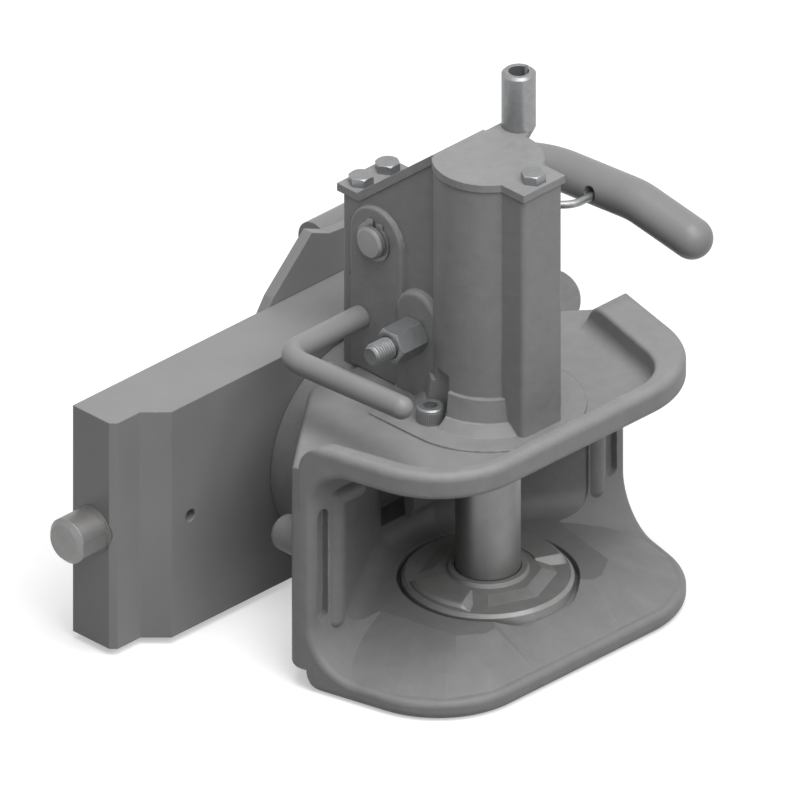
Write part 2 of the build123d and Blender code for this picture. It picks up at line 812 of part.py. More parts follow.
# Slider with its bores
with BuildPart() as slider_plate:
    with BuildSketch(Plane.XY.offset(-slider_half_h)):
        with BuildLine():
            Polyline(
                (-slider_half_w, slider_back_y),
                (-slider_half_w, tongue_front_y + tongue_chamfer),
                (-slider_half_w + tongue_chamfer, tongue_front_y),
                (-tongue_inner_half, tongue_front_y),
                (-step_half, slider_front_y),
                (step_half, slider_front_y),
                (tongue_inner_half, tongue_front_y),
                (slider_half_w - tongue_chamfer, tongue_front_y),
                (slider_half_w, tongue_front_y + tongue_chamfer),
                (slider_half_w, slider_back_y),
                close=True,
            )
        make_face()
    extrude(amount=2 * slider_half_h)
    with BuildSketch(Plane.XZ.offset(-slider_front_y + clear_over)):
        Circle(bush_r)
    extrude(amount=-(slider_back_y - slider_front_y + 2 * clear_over), mode=Mode.SUBTRACT)
    with BuildSketch(Plane.XZ.offset(-slider_back_y + counterbore_t)):
        Circle(counterbore_r)
    extrude(amount=-counterbore_t - clear_over, mode=Mode.SUBTRACT)
    for side in (-1, 1):
        with BuildSketch(Plane.YZ.offset(side * lock_bore_end_x)):
            with Locations((lock_pin_y, 0)):
                Circle(lock_pin_d / 2 + run_gap)
        extrude(amount=side * slider_half_w, mode=Mode.SUBTRACT)
        with BuildSketch(Plane.XZ.offset(-lock_pin_y)):
            with Locations((side * (pull_pin_x - lock_travel / 2), 0)):
                SlotOverall(lock_travel + pull_pin_d + 2 * loose_gap, pull_pin_d + 2 * loose_gap)
        extrude(amount=-past_all, mode=Mode.SUBTRACT)
    with BuildSketch(Plane.XZ.offset(-slider_back_y)):
        with PolarLocations(cap_screw_r, 4, 45):
            Circle(cap_screw_d / 2)
    extrude(amount=cap_screw_len - cap_flange_t - lock_plate_t + cap_hole_room, mode=Mode.SUBTRACT)
    with BuildSketch(Plane.XZ.offset(-slider_front_y)):
        with Locations((witness_hole_x, 0)):
            Circle(witness_hole_d / 2)
    extrude(amount=-witness_hole_t, mode=Mode.SUBTRACT)
save(slider_plate, "slider_plate")

with BuildPart() as journal_bush:
    with BuildSketch(Plane.XZ.offset(-slider_front_y)):
        Circle(bush_r)
        Circle(journal_r + run_gap, mode=Mode.SUBTRACT)
    extrude(amount=-(slider_back_y - counterbore_t - slider_front_y))
save(journal_bush, "journal_bush")

# Plate screwed to the journal's end, which keeps the jaw on the slider
with BuildPart() as retaining_plate:
    with BuildSketch(Plane.XZ.offset(-journal_end_y)):
        Circle(retainer_r)
    extrude(amount=-retainer_t)
    with BuildSketch(Plane.XZ.offset(-journal_end_y)):
        with PolarLocations(retainer_screw_pcd_r, 4, 45):
            Circle(retainer_screw_d / 2)
    extrude(amount=-retainer_t, mode=Mode.SUBTRACT)
    with BuildSketch(Plane.XZ.offset(-journal_end_y - retainer_t)):
        with PolarLocations(retainer_screw_pcd_r, 4, 45):
            Circle(retainer_screw_d)
    extrude(amount=retainer_screw_d / 2, taper=45, mode=Mode.SUBTRACT)
save(retaining_plate, "retaining_plate")

with BuildPart() as retaining_screws:
    with BuildSketch(Plane.XZ.offset(-journal_end_y - retainer_t)):
        with PolarLocations(retainer_screw_pcd_r, 4, 45):
            Circle(retainer_screw_d)
    extrude(amount=retainer_screw_d / 2, taper=45)
    with BuildSketch(Plane.XZ.offset(-journal_end_y - retainer_t)):
        with PolarLocations(retainer_screw_pcd_r, 4, 45):
            Circle(retainer_screw_d / 2)
    extrude(amount=retainer_t + retainer_screw_len)
    with BuildSketch(Plane.XZ.offset(-journal_end_y - retainer_t)):
        with PolarLocations(retainer_screw_pcd_r, 4, 45):
            RegularPolygon(retainer_socket_af / 2, 6, major_radius=False)
    extrude(amount=retainer_socket_t, mode=Mode.SUBTRACT)
save(retaining_screws, "retaining_screws")


# Cap on the slider's back, which the lock plate turns on
cap_shoulder_t = lock_plate_t + 2 * face_gap
with BuildPart() as rear_cap:
    with BuildSketch(Plane.XZ.offset(-slider_back_y)):
        Circle(cap_shoulder_r)
    extrude(amount=-cap_shoulder_t)
    with BuildSketch(Plane.XZ.offset(-slider_back_y - cap_shoulder_t)):
        Circle(cap_flange_r)
    extrude(amount=-cap_flange_t)
    with BuildSketch(Plane.XZ.offset(-slider_back_y)):
        with PolarLocations(cap_screw_r, 4, 45):
            Circle(cap_screw_d / 2)
    extrude(amount=-past_all, mode=Mode.SUBTRACT)
save(rear_cap, "rear_cap")

cap_back_y = slider_back_y + cap_shoulder_t + cap_flange_t
with BuildPart() as cap_screws:
    with Locations(Plane(origin=(0, cap_back_y, 0), x_dir=(1, 0, 0), z_dir=(0, 1, 0))):
        with PolarLocations(cap_screw_r, 4, 45):
            add(hex_head(cap_screw_af, cap_screw_head_h))
    with BuildSketch(Plane.XZ.offset(-cap_back_y)):
        with PolarLocations(cap_screw_r, 4, 45):
            Circle(cap_screw_d / 2)
    extrude(amount=cap_screw_len)
save(cap_screws, "cap_screws")

# Lock plate: a ring round the cap, two wings with cam slots, and a horn that carries the bar
slot_turn = radians(lock_turn)


def cam_point(turn, side):
    """Centre of the pull pin in the lock plate, after the plate has turned by a part of its travel."""
    reach = pull_pin_x - lock_travel * turn
    return (side * reach * cos(turn * slot_turn), -side * reach * sin(turn * slot_turn))


with BuildPart() as lock_plate:
    with BuildSketch(Plane.XZ.offset(-plate_y)) as plate_face:
        Circle(lock_plate_r)
        with BuildLine():
            Polyline(
                (-horn_foot_x, horn_foot_z),
                (-horn_knee_x, horn_knee_z),
                (horn_x, horn_z),
                (horn_x + horn_top_w, horn_z - horn_top_drop),
                (bar_start_x + bar_lap, bar_z + bar_tab_half),
                (bar_start_x + bar_lap, bar_z - bar_tab_half),
                (bar_foot_x, bar_foot_z),
                close=True,
            )
        make_face()
        for side in (-1, 1):
            with BuildLine(mode=Mode.PRIVATE):
                cam_from = cam_point(-slot_over, side)
                cam_to = cam_point(1 + slot_over, side)
                cam = ThreePointArc(cam_from, cam_point(0.5, side), cam_to)
            SlotArc(cam, pull_pin_d + 2 * loose_gap + 2 * wing_wall)
        Circle(cap_shoulder_r + run_gap, mode=Mode.SUBTRACT)
        for side in (-1, 1):
            with BuildLine(mode=Mode.PRIVATE):
                cam = ThreePointArc(cam_point(0, side), cam_point(0.5, side), cam_point(1, side))
            SlotArc(cam, pull_pin_d + 2 * loose_gap, mode=Mode.SUBTRACT)
    extrude(amount=-lock_plate_t)
save(lock_plate, "lock_plate")

with BuildPart() as handle_bar:
    with BuildLine():
        bar_path = FilletPolyline(
            (bar_start_x, bar_y, bar_z),
            (bar_side_x, bar_y, bar_z),
            (bar_side_x, bar_knee_y, bar_knee_z),
            (bar_side_x, bar_end_y, bar_end_z),
            radius=bar_bend_r,
        )
    with BuildSketch(Plane.YZ.offset(bar_start_x)):
        with Locations((bar_y, bar_z)):
            Circle(bar_d / 2)
    sweep(path=bar_path)
    with Locations((bar_side_x, bar_end_y, bar_end_z)):
        Sphere(bar_d / 2)
    with BuildSketch(Plane.XZ.offset(-plate_back_y)):
        with Locations((bar_start_x + bar_flat_len - past_all, bar_z)):
            Rectangle(2 * past_all, 2 * past_all)
    extrude(amount=bar_d, mode=Mode.SUBTRACT)
    with BuildSketch(Plane.YZ.offset(bar_side_x - bar_d)):
        with Locations((wire_y, wire_hole_z)):
            Circle(wire_hole_d / 2)
    extrude(amount=2 * bar_d, mode=Mode.SUBTRACT)
save(handle_bar, "handle_bar")

# Locking pins, their pull pins and springs
for side, word in ((-1, "left"), (1, "right")):
    pin_end_x = slider_half_w + lock_pin_out
    with BuildPart() as locking_pin:
        with BuildSketch(Plane.YZ.offset(side * lock_pin_inner_x)):
            with Locations((lock_pin_y, 0)):
                Circle(lock_pin_d / 2)
        extrude(amount=side * (pin_end_x - lock_pin_inner_x))
        outer = locking_pin.faces().filter_by(Axis.X).sort_by(Axis.X)[0 if side < 0 else -1]
        chamfer(outer.edges(), lock_pin_chamfer)
        with BuildSketch(Plane.YZ.offset(side * (slider_half_w + lock_pin_proud))):
            with Locations((lock_pin_y, 0)):
                Circle(lock_pin_d / 2 + clear_over)
                Circle(lock_pin_d / 2 - lock_pin_groove_t, mode=Mode.SUBTRACT)
        extrude(amount=side * lock_pin_groove_w, mode=Mode.SUBTRACT)
        for flat in (-1, 1):
            with BuildSketch(Plane.YZ.offset(side * (slider_half_w + lock_pin_proud + lock_pin_groove_w))):
                with Locations((lock_pin_y + flat * (lock_pin_flat + lock_pin_d / 2), 0)):
                    Rectangle(lock_pin_d, lock_pin_d)
            extrude(amount=side * lock_pin_out, mode=Mode.SUBTRACT)
        with BuildSketch(Plane.XZ.offset(-lock_pin_y + lock_pin_d)):
            with Locations((side * pull_pin_x, 0)):
                Circle(pull_pin_d / 2)
        extrude(amount=-2 * lock_pin_d, mode=Mode.SUBTRACT)
    save(locking_pin, f"locking_pin_{word}")

    with BuildPart() as pull_pin:
        with BuildSketch(Plane.XZ.offset(-pull_pin_front_y)):
            with Locations((side * pull_pin_x, 0)):
                Circle(pull_pin_d / 2)
        extrude(amount=-(plate_back_y - pull_pin_front_y))
    save(pull_pin, f"pull_pin_{word}")

    spring_len = lock_pin_inner_x - lock_bore_end_x - lock_spring_wire
    spring_start = Vector(side * (lock_bore_end_x + lock_spring_wire / 2), lock_pin_y, 0)
    with BuildPart() as lock_spring:
        with BuildLine():
            coil = Helix(
                spring_len / lock_spring_turns,
                spring_len,
                lock_spring_r,
                center=spring_start,
                direction=(side, 0, 0),
            )
        with BuildSketch(Plane(origin=coil @ 0, z_dir=coil % 0)):
            Circle(lock_spring_wire / 2)
        sweep(path=coil, is_frenet=True)
    save(lock_spring, f"lock_spring_{word}")

# Coupling pin, slotted at the top for the lift lever
with BuildPart() as coupling_pin:
    with BuildSketch(Plane.XY.offset(pin_bottom_z)):
        Circle(pin_r)
    extrude(amount=pin_top_z - pin_bottom_z)
    chamfer(coupling_pin.edges().group_by(Axis.Z)[0], pin_tip)
    chamfer(coupling_pin.edges().group_by(Axis.Z)[-1], pin_top_chamfer)
    with BuildSketch(Plane.XY.offset(pin_slot_floor_z)):
        Rectangle(pin_slot_w, pin_d + 2 * clear_over)
    extrude(amount=pin_top_z, mode=Mode.SUBTRACT)
    with BuildSketch(Plane.YZ.offset(-pin_d)):
        with Locations((0, cross_z)):
            Circle(cross_pin_d / 2)
    extrude(amount=2 * pin_d, mode=Mode.SUBTRACT)
save(coupling_pin, "coupling_pin")

with BuildPart() as cross_pin:
    with BuildSketch(Plane.YZ.offset(-pin_r + cross_pin_under)):
        with Locations((0, cross_z)):
            Circle(cross_pin_d / 2)
    extrude(amount=pin_d - 2 * cross_pin_under)
save(cross_pin, "cross_pin")

with BuildPart() as upper_bush:
    with BuildSketch(Plane.XY.offset(mouth_half_h)):
        Circle(pin_bush_r)
        Circle(pin_r + run_gap, mode=Mode.SUBTRACT)
    extrude(amount=bush_top_z - mouth_half_h)
    with BuildSketch(Plane.YZ.offset(-cavity_half)):
        with BuildLine():
            Polyline(
                (0, cavity_floor_z + cavity_toe_h),
                (cavity_toe_y, cavity_floor_z),
                (past_all, cavity_floor_z),
                (past_all, cavity_top_z),
                (0, cavity_top_z),
                close=True,
            )
        make_face()
    extrude(amount=2 * cavity_half, mode=Mode.SUBTRACT)
save(upper_bush, "upper_bush")

with BuildPart() as lower_bush:
    with BuildSketch(Plane.XY.offset(-dish_z)):
        Circle(pin_bush_r)
        Circle(pin_r + run_gap, mode=Mode.SUBTRACT)
    extrude(amount=recess_z + dish_z)
save(lower_bush, "lower_bush")

with BuildPart() as wear_disc:
    with BuildSketch(Plane.XY.offset(recess_z)):
        Circle(disc_d / 2)
    extrude(amount=disc_t)
    chamfer(wear_disc.edges().group_by(Axis.Z)[-1], disc_chamfer)
    with BuildSketch(Plane.XY.offset(recess_z + disc_t)):
        RegularPolygon(disc_facet_d / 2, disc_facets)
    extrude(amount=disc_facet_h, taper=disc_facet_taper)
    with BuildSketch(Plane.XY.offset(recess_z + disc_t)):
        Circle(disc_collar_d / 2)
    extrude(amount=disc_facet_h + disc_collar_h, taper=disc_collar_taper)
    with BuildSketch(Plane.XY.offset(recess_z)):
        Circle(pin_r + disc_pin_room)
    extrude(amount=past_all, mode=Mode.SUBTRACT)
save(wear_disc, "wear_disc")

# Lift lever: boss on the pivot shaft and a fork round the cross pin
lever_plane = Plane(
    origin=(-lever_t / 2, pivot_y, pivot_z),
    x_dir=(0, -cos(radians(lever_low)), -sin(radians(lever_low))),
    z_dir=(1, 0, 0),
)
with BuildPart() as lift_lever:
    with BuildSketch(lever_plane):
        Circle(lever_boss_r)
        with BuildLine():
            Polyline(
                (0, -lever_boss_r + lever_waist),
                (fork_start_r - fork_root, -fork_upper - prong_t),
                (lever_tip_r, -fork_upper - prong_t),
                (lever_tip_r, fork_lower + prong_t),
                (fork_start_r - fork_root, fork_lower + prong_t),
                (0, lever_boss_r),
                close=True,
            )
        make_face()
        fork_mid = (fork_lower - fork_upper) / 2
        with Locations(((fork_start_r + lever_tip_r + past_all) / 2, fork_mid)):
            SlotOverall(lever_tip_r + past_all - fork_start_r, fork_upper + fork_lower, mode=Mode.SUBTRACT)
        Circle(pivot_d / 2 + run_gap, mode=Mode.SUBTRACT)
    extrude(amount=lever_t)
save(lift_lever, "lift_lever")

# Pivot shaft of the lift lever with its two circlips
shaft_left_x = -box_half - shaft_pad_t - pivot_out
shaft_right_x = box_half + pivot_out
with BuildPart() as pivot_shaft:
    with BuildSketch(Plane.YZ.offset(shaft_left_x)):
        with Locations((pivot_y, pivot_z)):
            Circle(pivot_d / 2)
    extrude(amount=shaft_right_x - shaft_left_x)
    chamfer(pivot_shaft.edges().filter_by(GeomType.CIRCLE), pivot_chamfer)
    for groove_x in (-box_half - shaft_pad_t - circlip_t, box_half):
        with BuildSketch(Plane.YZ.offset(groove_x)):
            with Locations((pivot_y, pivot_z)):
                Circle(pivot_d / 2 + clear_over)
                Circle(pivot_d / 2 - circlip_groove_t, mode=Mode.SUBTRACT)
        extrude(amount=circlip_t, mode=Mode.SUBTRACT)
save(pivot_shaft, "pivot_shaft")

with BuildPart() as circlips:
    for groove_x in (-box_half - shaft_pad_t - circlip_t, box_half):
        with BuildSketch(Plane.YZ.offset(groove_x)):
            with Locations((pivot_y, pivot_z)):
                Circle(pivot_d / 2 + circlip_w)
            ears = [(circlip_y + side * circlip_ear_y, circlip_ear_z - (1 - side) / 2) for side in (1, -1)]
            with Locations(ears):
                Circle(circlip_ear_r)
            with Locations((pivot_y, pivot_z)):
                Circle(pivot_d / 2 - circlip_groove_t, mode=Mode.SUBTRACT)
            with Locations((circlip_y, pivot_z + pivot_d / 2 + circlip_ear_r)):
                Rectangle(circlip_gap, circlip_cut_h, mode=Mode.SUBTRACT)
        extrude(amount=circlip_t)
save(circlips, "circlips")

# Closing spring beside the lift lever
closing_r = pivot_d / 2 + closing_room + closing_spring_wire / 2
closing_len = cavity_half - lever_t / 2 - 1.5 * closing_spring_wire
with BuildPart() as closing_spring:
    with BuildLine():
        coil = Helix(
            closing_len / closing_spring_turns,
            closing_len,
            closing_r,
            center=(lever_t / 2 + 0.75 * closing_spring_wire, pivot_y, pivot_z),
            direction=(1, 0, 0),
        )
    with BuildSketch(Plane(origin=coil @ 0, z_dir=coil % 0)):
        Circle(closing_spring_wire / 2)
    sweep(path=coil, is_frenet=True)
save(closing_spring, "closing_spring")

# Hand lever: a bent rod whose inner end turns in the left wall
with BuildPart() as hand_lever:
    with BuildLine():
        rod = FilletPolyline(
            (cavity_half + shaft_blind, shaft_y, shaft_z),
            (hand_lever_x, shaft_y, shaft_z),
            (hand_lever_x, hand_lever_end_y, shaft_z + hand_lever_rise),
            radius=hand_lever_bend_r,
        )
    with BuildSketch(Plane.YZ.offset(cavity_half + shaft_blind)):
        with Locations((shaft_y, shaft_z)):
            Circle(shaft_d / 2)
    sweep(path=rod)
    with Locations((hand_lever_x, hand_lever_end_y, shaft_z + hand_lever_rise)):
        Sphere(shaft_d / 2)
save(hand_lever, "hand_lever")

# Finger fixed on the rod inside the housing, which pushes the lift lever up
finger_plane = Plane(
    origin=(-lever_t / 2, shaft_y, shaft_z),
    x_dir=(0, -cos(radians(finger_drop)), -sin(radians(finger_drop))),
    z_dir=(1, 0, 0),
)
with BuildPart() as lift_finger:
    with BuildSketch(finger_plane):
        Circle(shaft_d / 2 + finger_boss_wall)
        with Locations((finger_len, 0)):
            Circle(finger_tip_r)
        with BuildLine():
            Polyline(
                (0, -shaft_d / 2 - finger_root),
                (finger_len, -finger_tip_r),
                (finger_len, finger_tip_r),
                (0, shaft_d / 2 + finger_root),
                close=True,
            )
        make_face()
        Circle(shaft_d / 2, mode=Mode.SUBTRACT)
    extrude(amount=lever_t)
save(lift_finger, "lift_finger")

# Trigger: a tab in the throat on its pin
with BuildPart() as trigger:
    with BuildSketch(Plane.YZ.offset(-trigger_half)):
        with Locations((trigger_y, trigger_z)):
            Circle(trigger_boss_r)
        with BuildLine():
            Polyline(
                (trigger_y - trigger_boss_r, trigger_z),
                (trigger_front_y, trigger_bottom_z + trigger_toe),
                (trigger_front_y + trigger_toe / 2, trigger_bottom_z),
                (trigger_front_y + trigger_t - clear_over, trigger_bottom_z),
                (trigger_front_y + trigger_t, trigger_bottom_z + trigger_toe),
                (trigger_y + trigger_boss_r, trigger_z),
                close=True,
            )
        make_face()
        with Locations((trigger_y, trigger_z)):
            Circle(trigger_pin_d / 2 + run_gap, mode=Mode.SUBTRACT)
    extrude(amount=2 * trigger_half)
save(trigger, "trigger")

with BuildPart() as trigger_pin:
    with BuildSketch(Plane.YZ.offset(-box_half)):
        with Locations((trigger_y, trigger_z)):
            Circle(trigger_pin_d / 2)
    extrude(amount=2 * box_half)
save(trigger_pin, "trigger_pin")

# Cover plate: flat on the column, bent down over the box, with an ear for the cable sleeve
with BuildPart() as cover_plate:
    with BuildSketch(Plane.XY.offset(column_top_z)):
        Circle(column_r + cover_margin)
        with Locations((0, boss_front_y / 2)):
            Rectangle(2 * boss_half + 2 * cover_margin, -boss_front_y + 2 * cover_margin)
        with BuildLine():
            Polyline(
                (0, ear_root_y),
                (ear_x - ear_w / 2, ear_y - ear_end),
                (ear_x + ear_end, ear_y - ear_w / 6),
                (ear_x + ear_w / 2, ear_y + ear_end),
                (box_half, slope_start_y),
                (0, slope_start_y),
                close=True,
            )
        make_face()
        with Locations((0, slope_start_y + past_all / 2)):
            Rectangle(4 * past_all, past_all, mode=Mode.SUBTRACT)
    extrude(amount=cover_t)
    with BuildSketch(Plane.YZ.offset(-box_half - cover_margin)):
        with BuildLine():
            Polyline(
                (slope_start_y, column_top_z),
                (slope_end_y, slope_end_z),
                (box_back_y + cover_over, slope_end_z),
                (box_back_y + cover_over, slope_end_z + cover_t),
                (slope_end_y + cover_bend, slope_end_z + cover_t),
                (slope_start_y + cover_bend, cover_top_z),
                (slope_start_y, cover_top_z),
                close=True,
            )
        make_face()
    extrude(amount=2 * box_half + 2 * cover_margin)
    with BuildSketch(Plane.XY.offset(slope_end_z - clear_over)):
        with Locations((0, front_bolt_y), (-rear_bolt_half, rear_bolt_y), (rear_bolt_half, rear_bolt_y)):
            Circle(bolt_d / 2)
        with Locations((ear_x, ear_y)):
            Circle(sleeve_bore_d / 2)
    extrude(amount=slope_drop + cover_t + 2 * clear_over, mode=Mode.SUBTRACT)
save(cover_plate, "cover_plate")

with BuildPart() as cover_bolts:
    seats = ((0, front_bolt_y, cover_top_z), (-rear_bolt_half, rear_bolt_y, slope_end_z + cover_t),
             (rear_bolt_half, rear_bolt_y, slope_end_z + cover_t))
    for bolt_x, bolt_y, bolt_z in seats:
        with Locations((bolt_x, bolt_y, bolt_z)):
            add(hex_head(bolt_head_af, bolt_head_h))
        with BuildSketch(Plane.XY.offset(bolt_z)):
            with Locations((bolt_x, bolt_y)):
                Circle(bolt_d / 2)
        extrude(amount=-bolt_len)
save(cover_bolts, "cover_bolts")

with BuildPart() as cable_sleeve:
    with BuildSketch(Plane.XY.offset(cover_top_z)):
        with Locations((ear_x, ear_y)):
            Circle(sleeve_d / 2)
            Circle(sleeve_bore_d / 2, mode=Mode.SUBTRACT)
    extrude(amount=sleeve_h)
    chamfer(cable_sleeve.edges().group_by(Axis.Z)[-1].sort_by(SortBy.RADIUS)[-1], sleeve_chamfer)
    with BuildSketch(Plane.XY.offset(cover_top_z + sleeve_slot_up)):
        with Locations((ear_x + sleeve_d / 2, ear_y)):
            Rectangle(sleeve_d, sleeve_slot_w)
    extrude(amount=sleeve_h, mode=Mode.SUBTRACT)
save(cable_sleeve, "cable_sleeve")

# Stud and tall nut on the left pad
pad_x = -box_half - nut_pad_t
with BuildPart() as stop_stud:
    with BuildSketch(Plane.YZ.offset(pad_x - stud_out)):
        with Locations((stud_y, stud_z)):
            Circle(stud_d / 2)
    extrude(amount=stud_out + nut_pad_t + stud_in)
    chamfer(stop_stud.edges().group_by(Axis.X)[0], stud_chamfer)
save(stop_stud, "stop_stud")

with BuildPart() as stud_nut:
    with Locations(Plane(origin=(pad_x, stud_y, stud_z), x_dir=(0, 0, 1), z_dir=(-1, 0, 0))):
        add(hex_head(nut_af, nut_len, both_ends=True))
    with BuildSketch(Plane.YZ.offset(pad_x)):
        with Locations((stud_y, stud_z)):
            Circle(stud_d / 2)
    extrude(amount=-nut_len, mode=Mode.SUBTRACT)
save(stud_nut, "stud_nut")

# Socket-head screws on both sides of the housing foot
with BuildPart() as foot_screws:
    with BuildSketch(Plane.XY.offset(dish_z + base_boss_h)):
        with Locations((-foot_screw_x, foot_screw_y), (foot_screw_x, foot_screw_y)):
            Circle(foot_screw_head_d / 2)
    extrude(amount=foot_screw_head_h)
    chamfer(foot_screws.edges().group_by(Axis.Z)[-1], foot_screw_chamfer)
    with BuildSketch(Plane.XY.offset(dish_z + base_boss_h)):
        with Locations((-foot_screw_x, foot_screw_y), (foot_screw_x, foot_screw_y)):
            Circle(foot_screw_d / 2)
    extrude(amount=-foot_screw_len)
    with BuildSketch(Plane.XY.offset(dish_z + base_boss_h + foot_screw_head_h)):
        with Locations((-foot_screw_x, foot_screw_y), (foot_screw_x, foot_screw_y)):
            RegularPolygon(foot_screw_socket_af / 2, 6, major_radius=False)
    extrude(amount=-foot_screw_socket_t, mode=Mode.SUBTRACT)
save(foot_screws, "foot_screws")

with BuildPart() as grease_nipple:
    with BuildSketch(nipple_plane):
        Circle(nipple_shank_d / 2)
    extrude(amount=-nipple_shank_len)
    with BuildSketch(nipple_plane):
        RegularPolygon(nipple_af / 2, 6, major_radius=False)
    extrude(amount=nipple_hex_h)
    with BuildSketch(nipple_plane.offset(nipple_hex_h)):
        Circle(nipple_head_d / 2)
    extrude(amount=nipple_head_h, taper=nipple_taper)
save(grease_nipple, "grease_nipple")

# Wire in the handle bar's cross hole, which runs back to the bar's other leg
with BuildPart() as handle_wire:
    wire_end_x = bar_side_x + bar_d / 2 - wire_inset
    wire_side_x = bar_side_x - bar_d / 2 - wire_stand
    wire_run = bar_y - bar_d / 2 - wire_y - wire_d / 2
    with BuildLine():
        wire_path = FilletPolyline(
            (wire_end_x, wire_y, wire_z),
            (wire_side_x, wire_y, wire_z),
            (wire_side_x - wire_run, wire_y + wire_run, bar_z + wire_rise),
            radius=wire_bend_r,
        )
    with BuildSketch(Plane.YZ.offset(wire_end_x)):
        with Locations((wire_y, wire_z)):
            Circle(wire_d / 2)
    sweep(path=wire_path)
save(handle_wire, "handle_wire")
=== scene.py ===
"""Looks of the tractor clevis coupling: finishes, small details, floor, light and camera."""
import logging
from dataclasses import dataclass
from enum import Enum
from math import cos, pi, radians, sin, sqrt, tan

import bmesh
import bpy
from mathutils import Matrix, Vector


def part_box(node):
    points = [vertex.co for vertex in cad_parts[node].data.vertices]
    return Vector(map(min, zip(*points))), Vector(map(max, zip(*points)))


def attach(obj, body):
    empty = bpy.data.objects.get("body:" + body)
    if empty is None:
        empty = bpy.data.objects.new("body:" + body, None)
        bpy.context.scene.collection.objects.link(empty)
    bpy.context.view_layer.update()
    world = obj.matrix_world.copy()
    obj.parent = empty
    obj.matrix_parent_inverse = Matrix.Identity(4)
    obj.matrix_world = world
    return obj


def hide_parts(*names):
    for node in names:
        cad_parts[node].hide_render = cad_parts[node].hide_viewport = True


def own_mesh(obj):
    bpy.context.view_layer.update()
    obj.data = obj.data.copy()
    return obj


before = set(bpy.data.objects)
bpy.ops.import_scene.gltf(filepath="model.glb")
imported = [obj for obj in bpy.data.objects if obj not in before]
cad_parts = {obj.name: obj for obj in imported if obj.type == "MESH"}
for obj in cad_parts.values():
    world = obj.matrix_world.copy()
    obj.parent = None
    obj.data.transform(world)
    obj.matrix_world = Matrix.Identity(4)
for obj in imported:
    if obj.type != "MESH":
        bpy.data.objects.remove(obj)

LOG = logging.getLogger("coupling")
MM = 0.001
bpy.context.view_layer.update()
NOISE_SPAN = (0.3, 0.7)
EDGE_SPAN = (0.02, 0.22)
FULL_TURN = 2 * pi


class Axis(Enum):
    """Axis that a turned piece was spun about."""

    X = 0
    Y = 1
    Z = 2


class Body(Enum):
    """Bodies of the frame that the added pieces ride on."""

    SLIDER = "slider"
    JAW = "jaw"
    HANDLE = "lock_handle"


class Slot(Enum):
    """Names of material slots; nothing in this script uses them."""

    SLIDER = "slider_paint"
    STEEL = "hard_steel"
    SPRING = "spring_steel"
    ZINC = "zinc"


class Signal:
    """A shader socket that can stand in Python sums; each operator adds one Math node."""

    def __init__(self, graph: "Graph", socket: bpy.types.NodeSocket) -> None:
        """Keep the socket and the graph that its nodes go into."""
        self.graph = graph
        self.socket = socket

    def _math(
        self, operation: str, first: "Signal | float", second: "Signal | float", clamp: bool = False
    ) -> "Signal":
        """Add one Math node.

        Args:
            operation: The node's operation.
            first: Its first input.
            second: Its second input.
            clamp: Whether the result is kept between 0 and 1.

        Returns:
            The node's result.
        """
        settings = {"operation": operation, "use_clamp": clamp}
        return self.graph.signal("ShaderNodeMath", settings, {0: first, 1: second})

    def __add__(self, other: "Signal | float") -> "Signal":
        """Sum."""
        return self._math("ADD", self, other)

    def __radd__(self, other: float) -> "Signal":
        """Sum with a number in front."""
        return self._math("ADD", other, self)

    def __sub__(self, other: "Signal | float") -> "Signal":
        """Difference."""
        return self._math("SUBTRACT", self, other)

    def __rsub__(self, other: float) -> "Signal":
        """A number less this signal."""
        return self._math("SUBTRACT", other, self)

    def __mul__(self, other: "Signal | float") -> "Signal":
        """Product."""
        return self._math("MULTIPLY", self, other)

    def __rmul__(self, other: float) -> "Signal":
        """Product with a number in front."""
        return self._math("MULTIPLY", other, self)

    def __truediv__(self, other: "Signal | float") -> "Signal":
        """Quotient."""
        return self._math("DIVIDE", self, other)

    def __rtruediv__(self, other: float) -> "Signal":
        """A number divided by this signal."""
        return self._math("DIVIDE", other, self)

    def clamped(self) -> "Signal":
        """This signal kept between 0 and 1."""
        return self._math("ADD", self, 0.0, clamp=True)

    def rise(self, low: float, high: float) -> "Signal":
        """A ramp from 0 at low to 1 at high.

        Args:
            low: Value that gives 0.
            high: Value that gives 1.

        Returns:
            The clamped ramp.
        """
        return ((self - low) / (high - low)).clamped()


